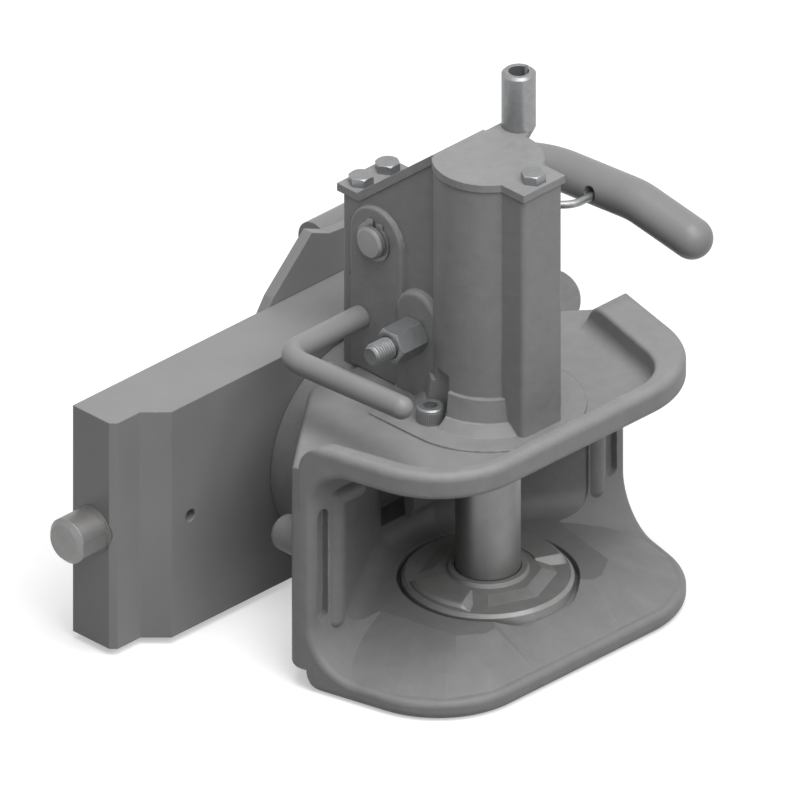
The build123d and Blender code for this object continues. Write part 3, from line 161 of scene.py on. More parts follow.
class Graph:
    """The node tree of one material or world."""

    def __init__(self, owner: bpy.types.Material | bpy.types.World) -> None:
        """Start with an empty tree.

        Args:
            owner: The material or world.
        """
        self.owner = owner
        owner.use_nodes = True
        self.tree = owner.node_tree
        self.tree.nodes.clear()

    def node(
        self, kind: str, settings: dict | None = None, inputs: dict | None = None
    ) -> bpy.types.ShaderNode:
        """Add any node.

        Args:
            kind: The node's type.
            settings: Attributes that are set before the inputs.
            inputs: Values or signals by socket name or number.

        Returns:
            The node.
        """
        made = self.tree.nodes.new(kind)
        for key, value in (settings or {}).items():
            setattr(made, key, value)
        for key, value in (inputs or {}).items():
            if isinstance(value, Signal):
                self.tree.links.new(value.socket, made.inputs[key])
            else:
                made.inputs[key].default_value = value
        return made

    def signal(
        self, kind: str, settings: dict | None = None, inputs: dict | None = None, out: int | str = 0
    ) -> Signal:
        """Add any node and take one of its outputs.

        Args:
            kind: The node's type.
            settings: Attributes that are set before the inputs.
            inputs: Values or signals by socket name or number.
            out: The output's name or number.

        Returns:
            The output.
        """
        return Signal(self, self.node(kind, settings, inputs).outputs[out])

    def place(self) -> Signal:
        """Object coordinates, in metres."""
        return self.signal("ShaderNodeTexCoord", out="Object")

    def noise(
        self, scale: float, detail: float = 3.0, rough: float = 0.55, vector: Signal | None = None
    ) -> Signal:
        """Noise over the object.

        Args:
            scale: Features in a metre.
            detail: Octaves.
            rough: Share that each octave keeps.
            vector: Coordinates, the object's own if left out.

        Returns:
            The noise, about 0.3 to 0.7.
        """
        inputs = {"Vector": vector or self.place(), "Scale": scale, "Detail": detail, "Roughness": rough}
        return self.signal("ShaderNodeTexNoise", {}, inputs, "Fac")

    def stretched(self, scales: tuple[float, float, float]) -> Signal:
        """Object coordinates scaled by a factor of their own on each axis.

        Args:
            scales: The three factors.

        Returns:
            The scaled coordinates.
        """
        return self.signal("ShaderNodeVectorMath", {"operation": "MULTIPLY"}, {0: self.place(), 1: scales})

    def mix(self, factor: Signal | float, low: Signal | tuple, high: Signal | tuple) -> Signal:
        """Mix two colours.

        Args:
            factor: 0 for the first colour, 1 for the second.
            low: First colour.
            high: Second colour.

        Returns:
            The mixed colour.
        """
        return self.signal("ShaderNodeMix", {"data_type": "RGBA"}, {0: factor, 6: low, 7: high}, 2)

    def worn_edges(self, radius: float) -> tuple[Signal, Signal]:
        """Rounded normal and a mask of the edges.

        Args:
            radius: Width of an edge's rounding, in metres.

        Returns:
            The rounded normal, and 0 on faces to 1 on edges.
        """
        rounded = self.signal("ShaderNodeBevel", {"samples": 4}, {"Radius": radius})
        flat = self.signal("ShaderNodeNewGeometry", out="True Normal")
        settings = {"operation": "DOT_PRODUCT"}
        along = self.signal("ShaderNodeVectorMath", settings, {0: rounded, 1: flat}, "Value")
        return rounded, (1.0 - along).rise(*EDGE_SPAN)

    def bump(self, height: Signal, strength: float, depth: float, normal: Signal) -> Signal:
        """Bump laid over a normal.

        Args:
            height: Height over the surface, 0 to 1.
            strength: How much of it shows.
            depth: Depth of 1, in metres.
            normal: Normal that it is added to.

        Returns:
            The new normal.
        """
        inputs = {"Strength": strength, "Distance": depth, "Height": height, "Normal": normal}
        return self.signal("ShaderNodeBump", {}, inputs)

    def seen(self) -> Signal:
        """1 for rays that show the surface itself: from the camera, off gloss or through glass."""
        path = self.node("ShaderNodeLightPath")
        names = ("Is Camera Ray", "Is Glossy Ray", "Is Transmission Ray")
        camera, gloss, glass = (Signal(self, path.outputs[name]) for name in names)
        return (camera + gloss + glass).clamped()

    def finish(self, **inputs: Signal | float | tuple) -> bpy.types.Material:
        """Close a material with a Principled shader.

        Args:
            inputs: The shader's sockets, with _ for a space in their names.

        Returns:
            The material.
        """
        named = {key.replace("_", " "): value for key, value in inputs.items()}
        shader = self.signal("ShaderNodeBsdfPrincipled", {}, named, "BSDF")
        self.node("ShaderNodeOutputMaterial", {}, {"Surface": shader})
        return self.owner


def grey(level: float, warm: float = 0.0) -> tuple[float, float, float, float]:
    """A grey colour.

    Args:
        level: Brightness, linear.
        warm: Share by which red is raised and blue lowered.

    Returns:
        Red, green, blue and alpha.
    """
    return (level * (1 + warm), level, level * (1 - warm), 1.0)


@dataclass(frozen=True)
class CastPaint:
    """Grey paint over a sand-cast skin: grain, waviness, dust, rubbed edges and painted shade in the low
    spots of the grain.
    """

    name: str = "cast_paint"
    tone: float = 0.27
    grain: float = 1500.0
    wave: float = 90.0
    roughness: float = 0.5
    edge: float = 1.2 * MM
    gloss: float = 0.35
    wave_tones: tuple[float, float] = (0.94, 1.06)
    wave_depth: float = 1.2 * MM
    wave_strength: float = 0.4
    dust: float = 24.0
    dust_span: tuple[float, float] = (0.5, 0.75)
    dust_tone: float = 1.2
    dust_share: float = 0.3
    dust_warmth: float = 0.02
    # painted shade: the colour darkens in the low spots of the grain bump
    pit_shade_span: tuple[float, float] = (0.62, 0.36)
    pit_shade_tone: float = 0.62
    pit_shade_share: float = 0.22
    rub: float = 150.0
    rub_span: tuple[float, float] = (0.36, 0.6)
    rub_tone: float = 1.7
    rub_share: float = 0.6
    rub_warmth: float = 0.01
    rub_metal: float = 0.4
    grain_depth: float = 0.25 * MM
    grain_strength: float = 0.7
    grain_rough: float = 0.16
    dust_rough: float = 0.12

    def build(self) -> bpy.types.Material:
        """Make the material."""
        graph = Graph(bpy.data.materials.new(self.name))
        rounded, edges = graph.worn_edges(self.edge)
        grain = graph.noise(self.grain, 4.0, 0.6)
        wave = graph.noise(self.wave, 3.0)
        dust = graph.noise(self.dust, 5.0, 0.62)
        darker, lighter = (grey(self.tone * part) for part in self.wave_tones)
        shade = graph.mix(wave.rise(*NOISE_SPAN), darker, lighter)
        dusty = grey(self.tone * self.dust_tone, self.dust_warmth)
        shade = graph.mix(dust.rise(*self.dust_span) * self.dust_share, shade, dusty)
        # Painted shade: the low spots of the grain bump are darkened.
        shade = graph.mix(grain.rise(*self.pit_shade_span) * self.pit_shade_share, shade, grey(self.tone * self.pit_shade_tone))
        rub = (edges * graph.noise(self.rub, 4.0, 0.7).rise(*self.rub_span)).clamped()
        shade = graph.mix(rub * self.rub_share, shade, grey(self.tone * self.rub_tone, self.rub_warmth))
        normal = graph.bump(wave, self.wave_strength, self.wave_depth, rounded)
        normal = graph.bump(grain, self.grain_strength, self.grain_depth, normal)
        even = self.roughness - (self.grain_rough + self.dust_rough) / 2
        return graph.finish(
            Base_Color=shade,
            Roughness=grain * self.grain_rough + dust * self.dust_rough + even,
            Normal=normal,
            Metallic=rub * self.rub_metal,
            Specular_IOR_Level=self.gloss,
        )


@dataclass(frozen=True)
class PlatePaint:
    """Grey paint over machined or drawn steel: faint tool marks, orange peel and chipped edges."""

    name: str = "slider_paint"
    tone: float = 0.27
    roughness: float = 0.42
    edge: float = 0.9 * MM
    lay: tuple[float, float, float] = (60.0, 900.0, 900.0)
    gloss: float = 0.35
    cloud: float = 14.0
    cloud_tones: tuple[float, float] = (0.95, 1.06)
    peel: float = 600.0
    chips: float = 330.0
    chip_span: tuple[float, float] = (0.58, 0.64)
    rub_least: float = 0.3
    rub_tone: float = 1.8
    rub_share: float = 0.65
    rub_warmth: float = 0.01
    rub_metal: float = 0.5
    lay_strength: float = 0.16
    peel_strength: float = 0.3
    bump_depth: float = 0.1 * MM
    cloud_rough: float = 0.14
    peel_rough: float = 0.06

    def build(self) -> bpy.types.Material:
        """Make the material."""
        graph = Graph(bpy.data.materials.new(self.name))
        rounded, edges = graph.worn_edges(self.edge)
        milled = graph.noise(1.0, 2.0, 0.5, graph.stretched(self.lay))
        peel = graph.noise(self.peel, 2.0)
        cloud = graph.noise(self.cloud, 4.0, 0.6)
        chips = graph.noise(self.chips, 3.0, 0.75).rise(*self.chip_span)
        darker, lighter = (grey(self.tone * part) for part in self.cloud_tones)
        shade = graph.mix(cloud.rise(*NOISE_SPAN), darker, lighter)
        rub = (edges * (chips + self.rub_least)).clamped()
        shade = graph.mix(rub * self.rub_share, shade, grey(self.tone * self.rub_tone, self.rub_warmth))
        normal = graph.bump(milled, self.lay_strength, self.bump_depth, rounded)
        normal = graph.bump(peel, self.peel_strength, self.bump_depth, normal)
        even = self.roughness - (self.cloud_rough + self.peel_rough) / 2
        return graph.finish(
            Base_Color=shade,
            Roughness=cloud * self.cloud_rough + peel * self.peel_rough + even,
            Normal=normal,
            Metallic=rub * self.rub_metal,
            Specular_IOR_Level=self.gloss,
        )


@dataclass(frozen=True)
class TurnedSteel:
    """Bare steel with the fine rings that turning or grinding leaves, and a thin brown-grey stain."""

    name: str
    axis: Axis
    tone: float = 0.3
    roughness: float = 0.38
    metal: float = 0.6
    rings: float = 2600.0
    along: float = 40.0
    edge: float = 0.6 * MM
    stain: float = 45.0
    stain_span: tuple[float, float] = (0.35, 0.75)
    stain_tone: float = 0.78
    stain_warmth: float = 0.03
    ring_tone: float = 1.25
    ring_share: float = 0.25
    edge_tone: float = 1.5
    edge_share: float = 0.5
    ring_strength: float = 0.25
    ring_depth: float = 0.06 * MM
    ring_rough: float = 0.12
    stain_rough: float = 0.16
    smoother: float = 0.1

    def build(self) -> bpy.types.Material:
        """Make the material."""
        graph = Graph(bpy.data.materials.new(self.name))
        rounded, edges = graph.worn_edges(self.edge)
        scales = [self.along, self.along, self.along]
        scales[self.axis.value] = self.rings
        rings = graph.noise(1.0, 2.0, 0.5, graph.stretched(tuple(scales)))
        stain = graph.noise(self.stain, 5.0, 0.65)
        stained = grey(self.tone * self.stain_tone, self.stain_warmth)
        shade = graph.mix(stain.rise(*self.stain_span), grey(self.tone), stained)
        shade = graph.mix(rings * self.ring_share, shade, grey(self.tone * self.ring_tone))
        shade = graph.mix(edges * self.edge_share, shade, grey(self.tone * self.edge_tone))
        normal = graph.bump(rings, self.ring_strength, self.ring_depth, rounded)
        rough = rings * self.ring_rough + stain * self.stain_rough + (self.roughness - self.smoother)
        return graph.finish(Base_Color=shade, Roughness=rough, Normal=normal, Metallic=self.metal)


@dataclass(frozen=True)
class PlatedSteel:
    """Small plated or bronze parts: fine crystals and a little handling grime."""

    name: str
    colour: tuple[float, float, float, float]
    roughness: float = 0.38
    metal: float = 0.65
    edge: float = 0.4 * MM
    edge_tone: float = 0.5
    edge_share: float = 0.3
    crystal: float = 2100.0
    crystal_strength: float = 0.2
    crystal_depth: float = 0.05 * MM
    crystal_rough: float = 0.1
    grime: float = 260.0
    grime_span: tuple[float, float] = (0.42, 0.75)
    grime_tone: float = 0.72
    grime_share: float = 0.6
    grime_rough: float = 0.16
    smoother: float = 0.12

    def build(self) -> bpy.types.Material:
        """Make the material."""
        graph = Graph(bpy.data.materials.new(self.name))
        rounded, edges = graph.worn_edges(self.edge)
        crystal = graph.noise(self.crystal, 3.0, 0.6)
        grime = graph.noise(self.grime, 4.0, 0.65)
        dark = tuple(part * self.grime_tone for part in self.colour[:3]) + (1.0,)
        shade = graph.mix(grime.rise(*self.grime_span) * self.grime_share, self.colour, dark)
        shade = graph.mix(edges * self.edge_share, shade, grey(self.edge_tone))
        normal = graph.bump(crystal, self.crystal_strength, self.crystal_depth, rounded)
        even = self.roughness - self.smoother
        rough = crystal * self.crystal_rough + grime * self.grime_rough + even
        return graph.finish(Base_Color=shade, Roughness=rough, Normal=normal, Metallic=self.metal)


class Paints:
    """The finishes of this coupling, each made once."""

    def __init__(self) -> None:
        """Build every material."""
        self.casting = CastPaint().build()
        self.cover = CastPaint("cover_paint", 0.28, 2300.0, 150.0, 0.45, 0.8 * MM).build()
        self.slider = PlatePaint().build()
        self.bar = PlatePaint("bar_paint", 0.26, 0.38, 0.8 * MM, (500.0, 500.0, 500.0)).build()
        self.weld = PlatePaint("weld_paint", 0.25, 0.44, 0.5 * MM, (900.0, 900.0, 900.0)).build()
        self.pin = TurnedSteel("pin_steel", Axis.Z, 0.24, 0.36, 0.7).build()
        self.disc = TurnedSteel("disc_steel", Axis.Z, 0.34, 0.45, 0.35).build()
        self.side_pin = TurnedSteel("side_pin_steel", Axis.X, 0.26).build()
        self.back_pin = TurnedSteel("back_pin_steel", Axis.Y, 0.26).build()
        self.zinc = PlatedSteel("zinc", grey(0.3, -0.02)).build()
        self.spring = PlatedSteel("spring_steel", grey(0.22), 0.34).build()
        self.bronze = PlatedSteel("bronze", (0.45, 0.31, 0.15, 1.0)).build()


def dress(node: str, material: bpy.types.Material) -> None:
    """Give a node of the frame its finish.

    Args:
        node: The node's name.
        material: The finish.
    """
    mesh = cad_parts[node].data
    mesh.materials.clear()
    mesh.materials.append(material)
    LOG.info("dressed %s with %s", node, material.name)


@dataclass(frozen=True)
class Middle:
    """Middle and half sizes of a node's box at rest."""

    centre: Vector
    half: Vector

    @classmethod
    def of(cls, node: str) -> "Middle":
        """Read a node's box.

        Args:
            node: The node's name.

        Returns:
            Its middle and half sizes.
        """
        low, high = (Vector(corner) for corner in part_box(node))
        return cls((low + high) / 2, (high - low) / 2)


@dataclass
class Skin:
    """A closed mesh laid over rings of points, all with the same count."""

    name: str
    rings: list[list[Vector]]
    looped: bool = False
    crease: float = 32.0

    def fit(self, material: bpy.types.Material, body: Body) -> bpy.types.Object:
        """Make the piece and let it ride on a body.

        Args:
            material: Its finish.
            body: The body that it rides on.

        Returns:
            The new object.
        """
        mesh = bpy.data.meshes.new(self.name)
        build = bmesh.new()
        rows = [[build.verts.new(point) for point in ring] for ring in self.rings]
        around = len(rows[0])
        for first, second in zip(rows, rows[1:] + rows[:1] if self.looped else rows[1:]):
            for step in range(around):
                after = (step + 1) % around
                build.faces.new((first[step], first[after], second[after], second[step]))
        if not self.looped:
            build.faces.new(rows[0])
            build.faces.new(rows[-1])
        bmesh.ops.recalc_face_normals(build, faces=build.faces)
        for face in build.faces:
            face.smooth = True
        build.to_mesh(mesh)
        build.free()
        mesh.set_sharp_from_angle(angle=radians(self.crease))
        mesh.materials.append(material)
        piece = bpy.data.objects.new(self.name, mesh)
        bpy.context.scene.collection.objects.link(piece)
        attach(piece, body.value)
        LOG.info("added %s on %s, %d faces", self.name, body.value, len(mesh.polygons))
        return piece


def round_section(middle: Vector, out: Vector, side: Vector, radius: float, count: int) -> list[Vector]:
    """Points round the section of a wire or a bead.

    Args:
        middle: Its middle.
        out: Unit vector of its first point.
        side: Unit vector of its quarter turn.
        radius: Its radius.
        count: How many points it has.

    Returns:
        The points, in order.
    """
    turns = (FULL_TURN * place / count for place in range(count))
    return [middle + (out * cos(turn) + side * sin(turn)) * radius for turn in turns]


@dataclass
class Slider:
    """The slider with its bush, rear cap and lock springs."""

    paints: Paints
    painted: tuple[str, ...] = ("slider_plate", "rear_cap")
    wire: float = 2.5 * MM
    turns: int = 4
    turn_steps: int = 40
    around: int = 12
    pin_travel: float = 25.0 * MM
    end_room: float = 0.5 * MM
    crease: float = 60.0

    def coil(self, word: str, side: int) -> None:
        """Wind one lock spring.

        Args:
            word: The spring's side in its node's name.
            side: -1 for the left spring, 1 for the right one.
        """
        node = f"lock_spring_{word}"
        dress(node, self.paints.spring)
        room = Middle.of(node)
        coil_r = room.half.z - self.wire / 2
        long = 2 * room.half.x - self.wire - self.end_room
        fixed_x = room.centre.x - side * room.half.x
        count = self.turns * self.turn_steps
        rings = []
        for step in range(count + 1):
            turn = FULL_TURN * step / self.turn_steps
            along = fixed_x + side * (self.wire / 2 + long * step / count)
            out = Vector((0, cos(turn), sin(turn)))
            middle = Vector((along, room.centre.y, room.centre.z)) + out * coil_r
            rings.append(round_section(middle, out, Vector((1, 0, 0)), self.wire / 2, self.around))
        skin = Skin(f"lock_spring_coil_{word}", rings, crease=self.crease)
        piece = skin.fit(self.paints.spring, Body.SLIDER)
        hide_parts(node)
        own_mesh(piece)

    def build(self) -> None:
        """Dress the slider's nodes and wind its springs."""
        for node in self.painted:
            dress(node, self.paints.slider)
        dress("journal_bush", self.paints.bronze)
        dress("cap_screws", self.paints.zinc)
        self.coil("left", -1)
        self.coil("right", 1)


@dataclass
class SliderLock:
    """Locking pins, pull pins, lock plate, handle bar, its wire and the welds that hold the bar."""

    paints: Paints
    bar_z: float = 88.0 * MM
    bead_r: float = 4.0 * MM
    bead_swell: float = 0.14
    bead_out: float = 1.5 * MM
    bead_up: float = 10.5 * MM
    ripple: float = 2.6 * MM
    bead_inset: float = 4.0 * MM
    samples_a_ripple: int = 8
    around: int = 14
    end_share: float = 1 / 6
    end_size: float = 0.25
    crease: float = 60.0

    def weld(self, name: str, above: int) -> None:
        """Lay one weld bead in the corner between the bar and the lock plate.

        Args:
            name: The piece's name.
            above: 1 for the bead over the bar, -1 for the one under it.
        """
        plate = Middle.of("lock_plate")
        bar_low = Vector(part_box("handle_bar")[0])
        back_y = plate.centre.y + plate.half.y
        start = bar_low.x + self.bead_inset
        end = plate.centre.x + plate.half.x - self.bead_inset
        count = int((end - start) / self.ripple) * self.samples_a_ripple
        rings = []
        for step in range(count + 1):
            share = step / count
            phase = step / self.samples_a_ripple % 1.0
            taper = sqrt(min(1.0, share / self.end_share, (1 - share) / self.end_share))
            size = self.end_size + (1 - self.end_size) * taper
            radius = self.bead_r * size * (1 - self.bead_swell * (1 - phase) ** 2)
            along = start + (end - start) * share
            middle = Vector((along, back_y + self.bead_out, self.bar_z + above * self.bead_up))
            rings.append(round_section(middle, Vector((0, 1, 0)), Vector((0, 0, 1)), radius, self.around))
        Skin(name, rings, crease=self.crease).fit(self.paints.weld, Body.HANDLE)

    def build(self) -> None:
        """Dress the lock's nodes and weld the bar on."""
        for word in ("left", "right"):
            dress(f"locking_pin_{word}", self.paints.side_pin)
            dress(f"pull_pin_{word}", self.paints.back_pin)
        dress("lock_plate", self.paints.slider)
        dress("handle_bar", self.paints.bar)
        dress("handle_wire", self.paints.zinc)
        self.weld("handle_weld_upper", 1)
        self.weld("handle_weld_lower", -1)


@dataclass
class Jaw:
    """The jaw casting with its bushes, wear disc, foot screws and rear fixing."""

    paints: Paints
    lobe_in: float = 28.0 * MM
    lobe_out: float = 46.5 * MM
    lobe_rise: float = 4.2 * MM
    lobe_sunk: float = 2.0 * MM
    lobe_half_turn: float = 32.0
    lobe_ramp: float = 7.0
    lobe_steps: int = 48
    lobe_edge: float = 1.4 * MM
    lobe_slope: float = 0.4
    rim_h: float = 8.0 * MM
    knurls: int = 42
    knurl_depth: float = 0.22 * MM
    knurl_sunk: float = 0.1 * MM
    knurl_low: float = 0.35
    knurl_drops: tuple[float, float, float, float] = (8.8 * MM, 8.3 * MM, 2.1 * MM, 1.6 * MM)
    knurl_inner: float = 0.8
    lobe_crease: float = 20.0
    knurl_crease: float = 25.0

    def lobe(self, name: str, side: int) -> None:
        """Raise one lobe on the wear disc, which guides the drawbar eye to the middle.

        Args:
            name: The piece's name.
            side: -1 for the left lobe, 1 for the right one.
        """
        disc = Middle.of("wear_disc")
        rim_z = disc.centre.z - disc.half.z + self.rim_h
        edge = self.lobe_edge
        rings = []
        for step in range(self.lobe_steps + 1):
            turn = self.lobe_half_turn * (2 * step / self.lobe_steps - 1)
            lift = min(1.0, (self.lobe_half_turn - abs(turn)) / self.lobe_ramp)
            top = rim_z + self.lobe_rise * lift
            low = rim_z - self.lobe_sunk
            profile = (
                (self.lobe_in, low),
                (self.lobe_in + edge / 2, top),
                (self.lobe_out - 2 * edge, top),
                (self.lobe_out - edge, top - edge * self.lobe_slope * lift),
                (self.lobe_out, rim_z + (top - rim_z) * self.lobe_slope),
                (self.lobe_out, low),
            )
            out = Vector((side * cos(radians(turn)), sin(radians(turn)), 0))
            base = Vector((disc.centre.x, disc.centre.y, 0))
            rings.append([base + out * radius + Vector((0, 0, height)) for radius, height in profile])
        Skin(name, rings, crease=self.lobe_crease).fit(self.paints.disc, Body.JAW)

    def knurl(self, name: str, side: int) -> None:
        """Put the knurling round one foot screw's head.

        Args:
            name: The piece's name.
            side: -1 for the left screw, 1 for the right one.
        """
        screws = Middle.of("foot_screws")
        head_r = screws.half.y
        middle = Vector((side * (screws.half.x - head_r), screws.centre.y, 0))
        top = screws.centre.z + screws.half.z
        root_r = head_r - self.knurl_sunk
        rise = self.knurl_depth + self.knurl_sunk
        inner_r = root_r * self.knurl_inner
        lowest, low, high, highest = (top - drop for drop in self.knurl_drops)
        places = (
            (inner_r, 0.0, lowest),
            (root_r, 0.0, lowest),
            (root_r, rise, low),
            (root_r, rise, high),
            (root_r, 0.0, highest),
            (inner_r, 0.0, highest),
        )
        count = 4 * self.knurls
        rings = []
        for base_r, ridge, height in places:
            ring = []
            for step in range(count):
                turn = FULL_TURN * step / count
                radius = base_r + ridge * (1.0 if step % 4 < 2 else self.knurl_low)
                ring.append(middle + Vector((radius * cos(turn), radius * sin(turn), height)))
            rings.append(ring)
        skin = Skin(name, rings, looped=True, crease=self.knurl_crease)
        skin.fit(self.paints.zinc, Body.JAW)

    def build(self) -> None:
        """Dress the jaw's nodes and add its small details."""
        dress("jaw_body", self.paints.casting)
        dress("wear_disc", self.paints.disc)
        dress("retaining_plate", self.paints.back_pin)
        dress("retaining_screws", self.paints.zinc)
        for node in ("upper_bush", "lower_bush"):
            dress(node, self.paints.bronze)
        dress("foot_screws", self.paints.zinc)
        dress("grease_nipple", self.paints.zinc)
        for word, side in (("left", -1), ("right", 1)):
            self.lobe(f"wear_disc_lobe_{word}", side)
            self.knurl(f"foot_screw_knurl_{word}", side)


@dataclass
class Housing:
    """Cover, bolts, cable sleeve, stud with its thread, and tall nut on the pin housing."""

    paints: Paints
    pitch: float = 1.75 * MM
    thread_rise: float = 0.45 * MM
    thread_start: float = 1.2 * MM
    thread_sunk: float = 0.15 * MM
    thread_root: float = 0.42
    thread_crest: float = 0.08
    thread_crease: float = 20.0
    turn_steps: int = 32
    nut_steps: int = 96
    land: float = 0.95
    chamfer: float = 30.0
    mouth: tuple[float, float] = (1.1 * MM, 1.2 * MM)
    back_mouth: float = 0.3 * MM

    def thread(self) -> None:
        """Cut the thread on the stud's free end, as a ridge that runs out at both ends."""
        stud = Middle.of("stop_stud")
        nut = Middle.of("stud_nut")
        radius = stud.half.y
        start = stud.centre.x - stud.half.x + self.thread_start
        end = nut.centre.x - nut.half.x + self.pitch
        turns = (end - start) / self.pitch
        count = int(turns * self.turn_steps)
        rings = []
        for step in range(count + 1):
            turn = FULL_TURN * step / self.turn_steps
            fade = min(1.0, step / self.turn_steps, (count - step) / self.turn_steps)
            crest = radius + self.thread_rise * fade
            along = start + self.pitch * step / self.turn_steps
            out = Vector((0, cos(turn), sin(turn)))
            middle = Vector((along, stud.centre.y, stud.centre.z))
            root = radius - self.thread_sunk
            side = Vector((self.pitch * self.thread_root, 0, 0))
            top = Vector((self.pitch * self.thread_crest, 0, 0))
            rings.append([
                middle + out * root - side,
                middle + out * crest - top,
                middle + out * crest + top,
                middle + out * root + side,
            ])
        skin = Skin("stud_thread", rings, crease=self.thread_crease)
        skin.fit(self.paints.zinc, Body.JAW)

    def nut(self) -> None:
        """Make the tall nut with a flat on top, cone-shaped chamfers and a bevelled hole."""
        stud = Middle.of("stop_stud")
        box = Middle.of("stud_nut")
        bore = stud.half.y
        flat = min(box.half.y, box.half.z)
        outer = box.centre.x - box.half.x
        inner = box.centre.x + box.half.x
        land = flat * self.land
        slope = tan(radians(self.chamfer))
        mouth_r, mouth_t = self.mouth
        rings = [[] for _ in range(8)]
        for step in range(self.nut_steps):
            turn = FULL_TURN * step / self.nut_steps
            off_flat = (turn + pi / 6) % (pi / 3) - pi / 6
            radius = flat / cos(off_flat)
            drop = (radius - land) * slope
            places = (
                (bore, outer + mouth_t),
                (bore + mouth_r, outer),
                (land, outer),
                (radius, outer + drop),
                (radius, inner - drop),
                (land, inner),
                (bore + self.back_mouth, inner),
                (bore, inner - self.back_mouth),
            )
            out = Vector((0, sin(turn), cos(turn)))
            for ring, (reach, along) in zip(rings, places):
                ring.append(Vector((along, stud.centre.y, stud.centre.z)) + out * reach)
        skin = Skin("stud_nut_with_chamfers", rings, looped=True)
        piece = skin.fit(self.paints.zinc, Body.JAW)
        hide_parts("stud_nut")

    def build(self) -> None:
        """Dress the housing's nodes and add the thread and the nut."""
        dress("cover_plate", self.paints.cover)
        for node in ("cover_bolts", "cable_sleeve", "stop_stud", "stud_nut"):
            dress(node, self.paints.zinc)
        self.thread()
        self.nut()


@dataclass
class LiftGear:
    """Coupling pin, lift lever, hand lever, trigger and their shafts."""

    paints: Paints

    def build(self) -> None:
        """Dress the lift gear's nodes."""
        dress("coupling_pin", self.paints.pin)
        for node in ("cross_pin", "pivot_shaft", "trigger_pin"):
            dress(node, self.paints.side_pin)
        for node in ("circlips", "closing_spring"):
            dress(node, self.paints.spring)
        for node in ("lift_lever", "lift_finger", "trigger"):
            dress(node, self.paints.cover)
        dress("hand_lever", self.paints.bar)


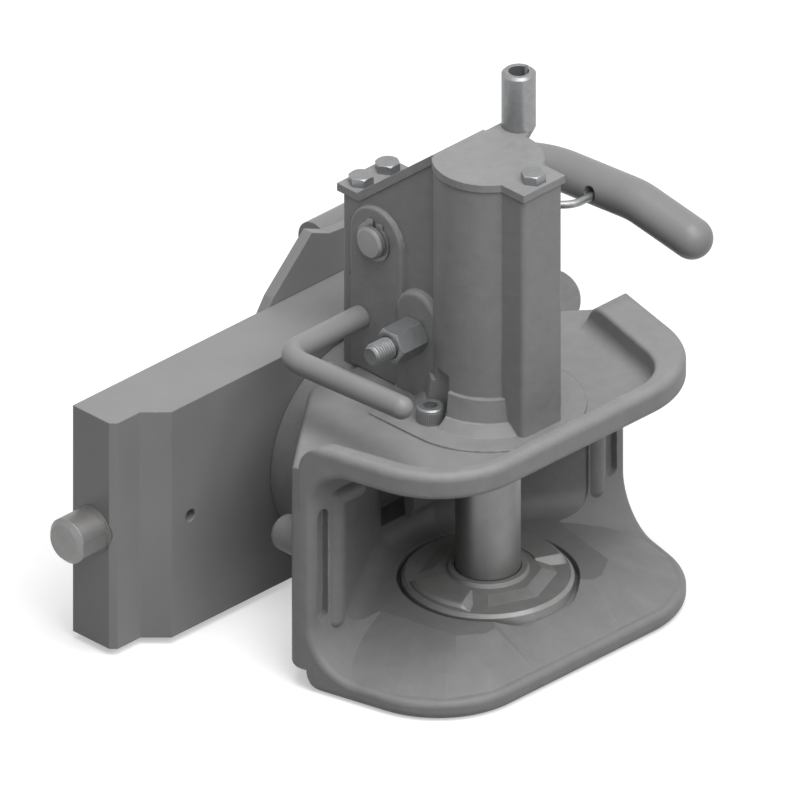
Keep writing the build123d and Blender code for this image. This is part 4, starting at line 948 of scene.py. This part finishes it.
@dataclass
class Studio:
    """Floor, lamps, world and camera."""

    azimuth: float = -45.0
    elevation: float = 30.0
    image_px: float = 800.0
    px_per_mm: float = 1.7366
    origin_px: tuple[float, float] = (488.0, 503.4)
    distance: float = 2.5
    floor_half: float = 4.0
    floor_gap: float = 0.5 * MM
    soft_light: float = 0.16
    floor_tone: float = 0.72
    floor_bounce: float = 0.14
    floor_glow: float = 0.45
    floor_rough: float = 0.9
    floor_cloud: float = 30.0
    floor_lift: float = 1.03
    far_end: float = 20.0

    def back(self, azimuth: float, elevation: float) -> Vector:
        """Direction from the coupling to an onlooker.

        Args:
            azimuth: Bearing from the front, in degrees.
            elevation: Height over the floor, in degrees.

        Returns:
            The unit vector.
        """
        turn, tilt = radians(azimuth), radians(elevation)
        return Vector((sin(turn) * cos(tilt), -cos(turn) * cos(tilt), sin(tilt)))

    def floor(self) -> None:
        """Lay the pale floor just below the coupling."""
        low = min(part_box(node)[0].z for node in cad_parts) - self.floor_gap
        mesh = bpy.data.meshes.new("floor")
        span = self.floor_half
        corners = [(-span, -span, low), (span, -span, low), (span, span, low), (-span, span, low)]
        mesh.from_pydata(corners, [], [(0, 1, 2, 3)])
        plane = bpy.data.objects.new("floor", mesh)
        bpy.context.scene.collection.objects.link(plane)
        graph = Graph(bpy.data.materials.new("pale_floor"))
        seen = graph.seen()
        cloud = graph.noise(self.floor_cloud, 2.0)
        pale = graph.mix(cloud, grey(self.floor_tone), grey(self.floor_tone * self.floor_lift))
        shade = graph.mix(seen, grey(self.floor_bounce), pale)
        glow = graph.mix(seen, grey(0.0), grey(self.floor_glow))
        floor_paint = graph.finish(
            Base_Color=shade, Roughness=self.floor_rough, Emission_Color=glow, Emission_Strength=1.0
        )
        mesh.materials.append(floor_paint)

    def world(self) -> None:
        """White where it is seen, and a plain soft light elsewhere."""
        world = bpy.data.worlds.new("studio")
        bpy.context.scene.world = world
        graph = Graph(world)
        colour = graph.mix(graph.seen(), grey(self.soft_light), grey(1.0))
        surface = graph.signal("ShaderNodeBackground", {}, {"Color": colour, "Strength": 1.0})
        graph.node("ShaderNodeOutputWorld", {}, {"Surface": surface})

    def lamp(self, name: str, azimuth: float, elevation: float, power: float, size: float) -> None:
        """Hang a square soft lamp that points at the coupling.

        Args:
            name: The lamp's name.
            azimuth: Its bearing, as for the camera, in degrees.
            elevation: Its height, in degrees.
            power: Watts.
            size: Side of the square, in metres.
        """
        light = bpy.data.lights.new(name, "AREA")
        light.energy = power
        light.size = size
        holder = bpy.data.objects.new(name, light)
        back = self.back(azimuth, elevation)
        holder.location = back * self.distance
        holder.rotation_euler = back.to_track_quat("Z", "Y").to_euler()
        bpy.context.scene.collection.objects.link(holder)

    def camera(self) -> None:
        """Place the parallel camera so that the origin falls on its pixel of the photograph."""
        back = self.back(self.azimuth, self.elevation)
        turn = radians(self.azimuth)
        right = Vector((cos(turn), sin(turn), 0.0))
        up = back.cross(right)
        half = self.image_px / 2
        shift_right = (half - self.origin_px[0]) / self.px_per_mm * MM
        shift_up = (self.origin_px[1] - half) / self.px_per_mm * MM
        data = bpy.data.cameras.new("camera")
        data.type = "ORTHO"
        data.ortho_scale = self.image_px / self.px_per_mm * MM
        data.clip_end = self.far_end
        holder = bpy.data.objects.new("camera", data)
        holder.location = right * shift_right + up * shift_up + back * self.distance
        holder.rotation_euler = Matrix((right, up, back)).transposed().to_euler()
        bpy.context.scene.collection.objects.link(holder)
        bpy.context.scene.camera = holder

    def build(self) -> None:
        """Set the whole studio."""
        self.floor()
        self.world()
        self.lamp("key_lamp", -14.0, 54.0, 46.0, 2.0)
        self.lamp("top_lamp", -60.0, 86.0, 32.0, 1.4)
        self.camera()
        bpy.context.scene.view_settings.view_transform = "Standard"


def main() -> None:
    """Build and dress everything, in order."""
    logging.basicConfig(level=logging.INFO, format="%(name)s: %(message)s")
    paints = Paints()
    parts = (Slider(paints), SliderLock(paints), Jaw(paints), Housing(paints), LiftGear(paints), Studio())
    for part in parts:
        part.build()
        LOG.info("built %s", type(part).__name__)


if __name__ == "__main__":
    main()
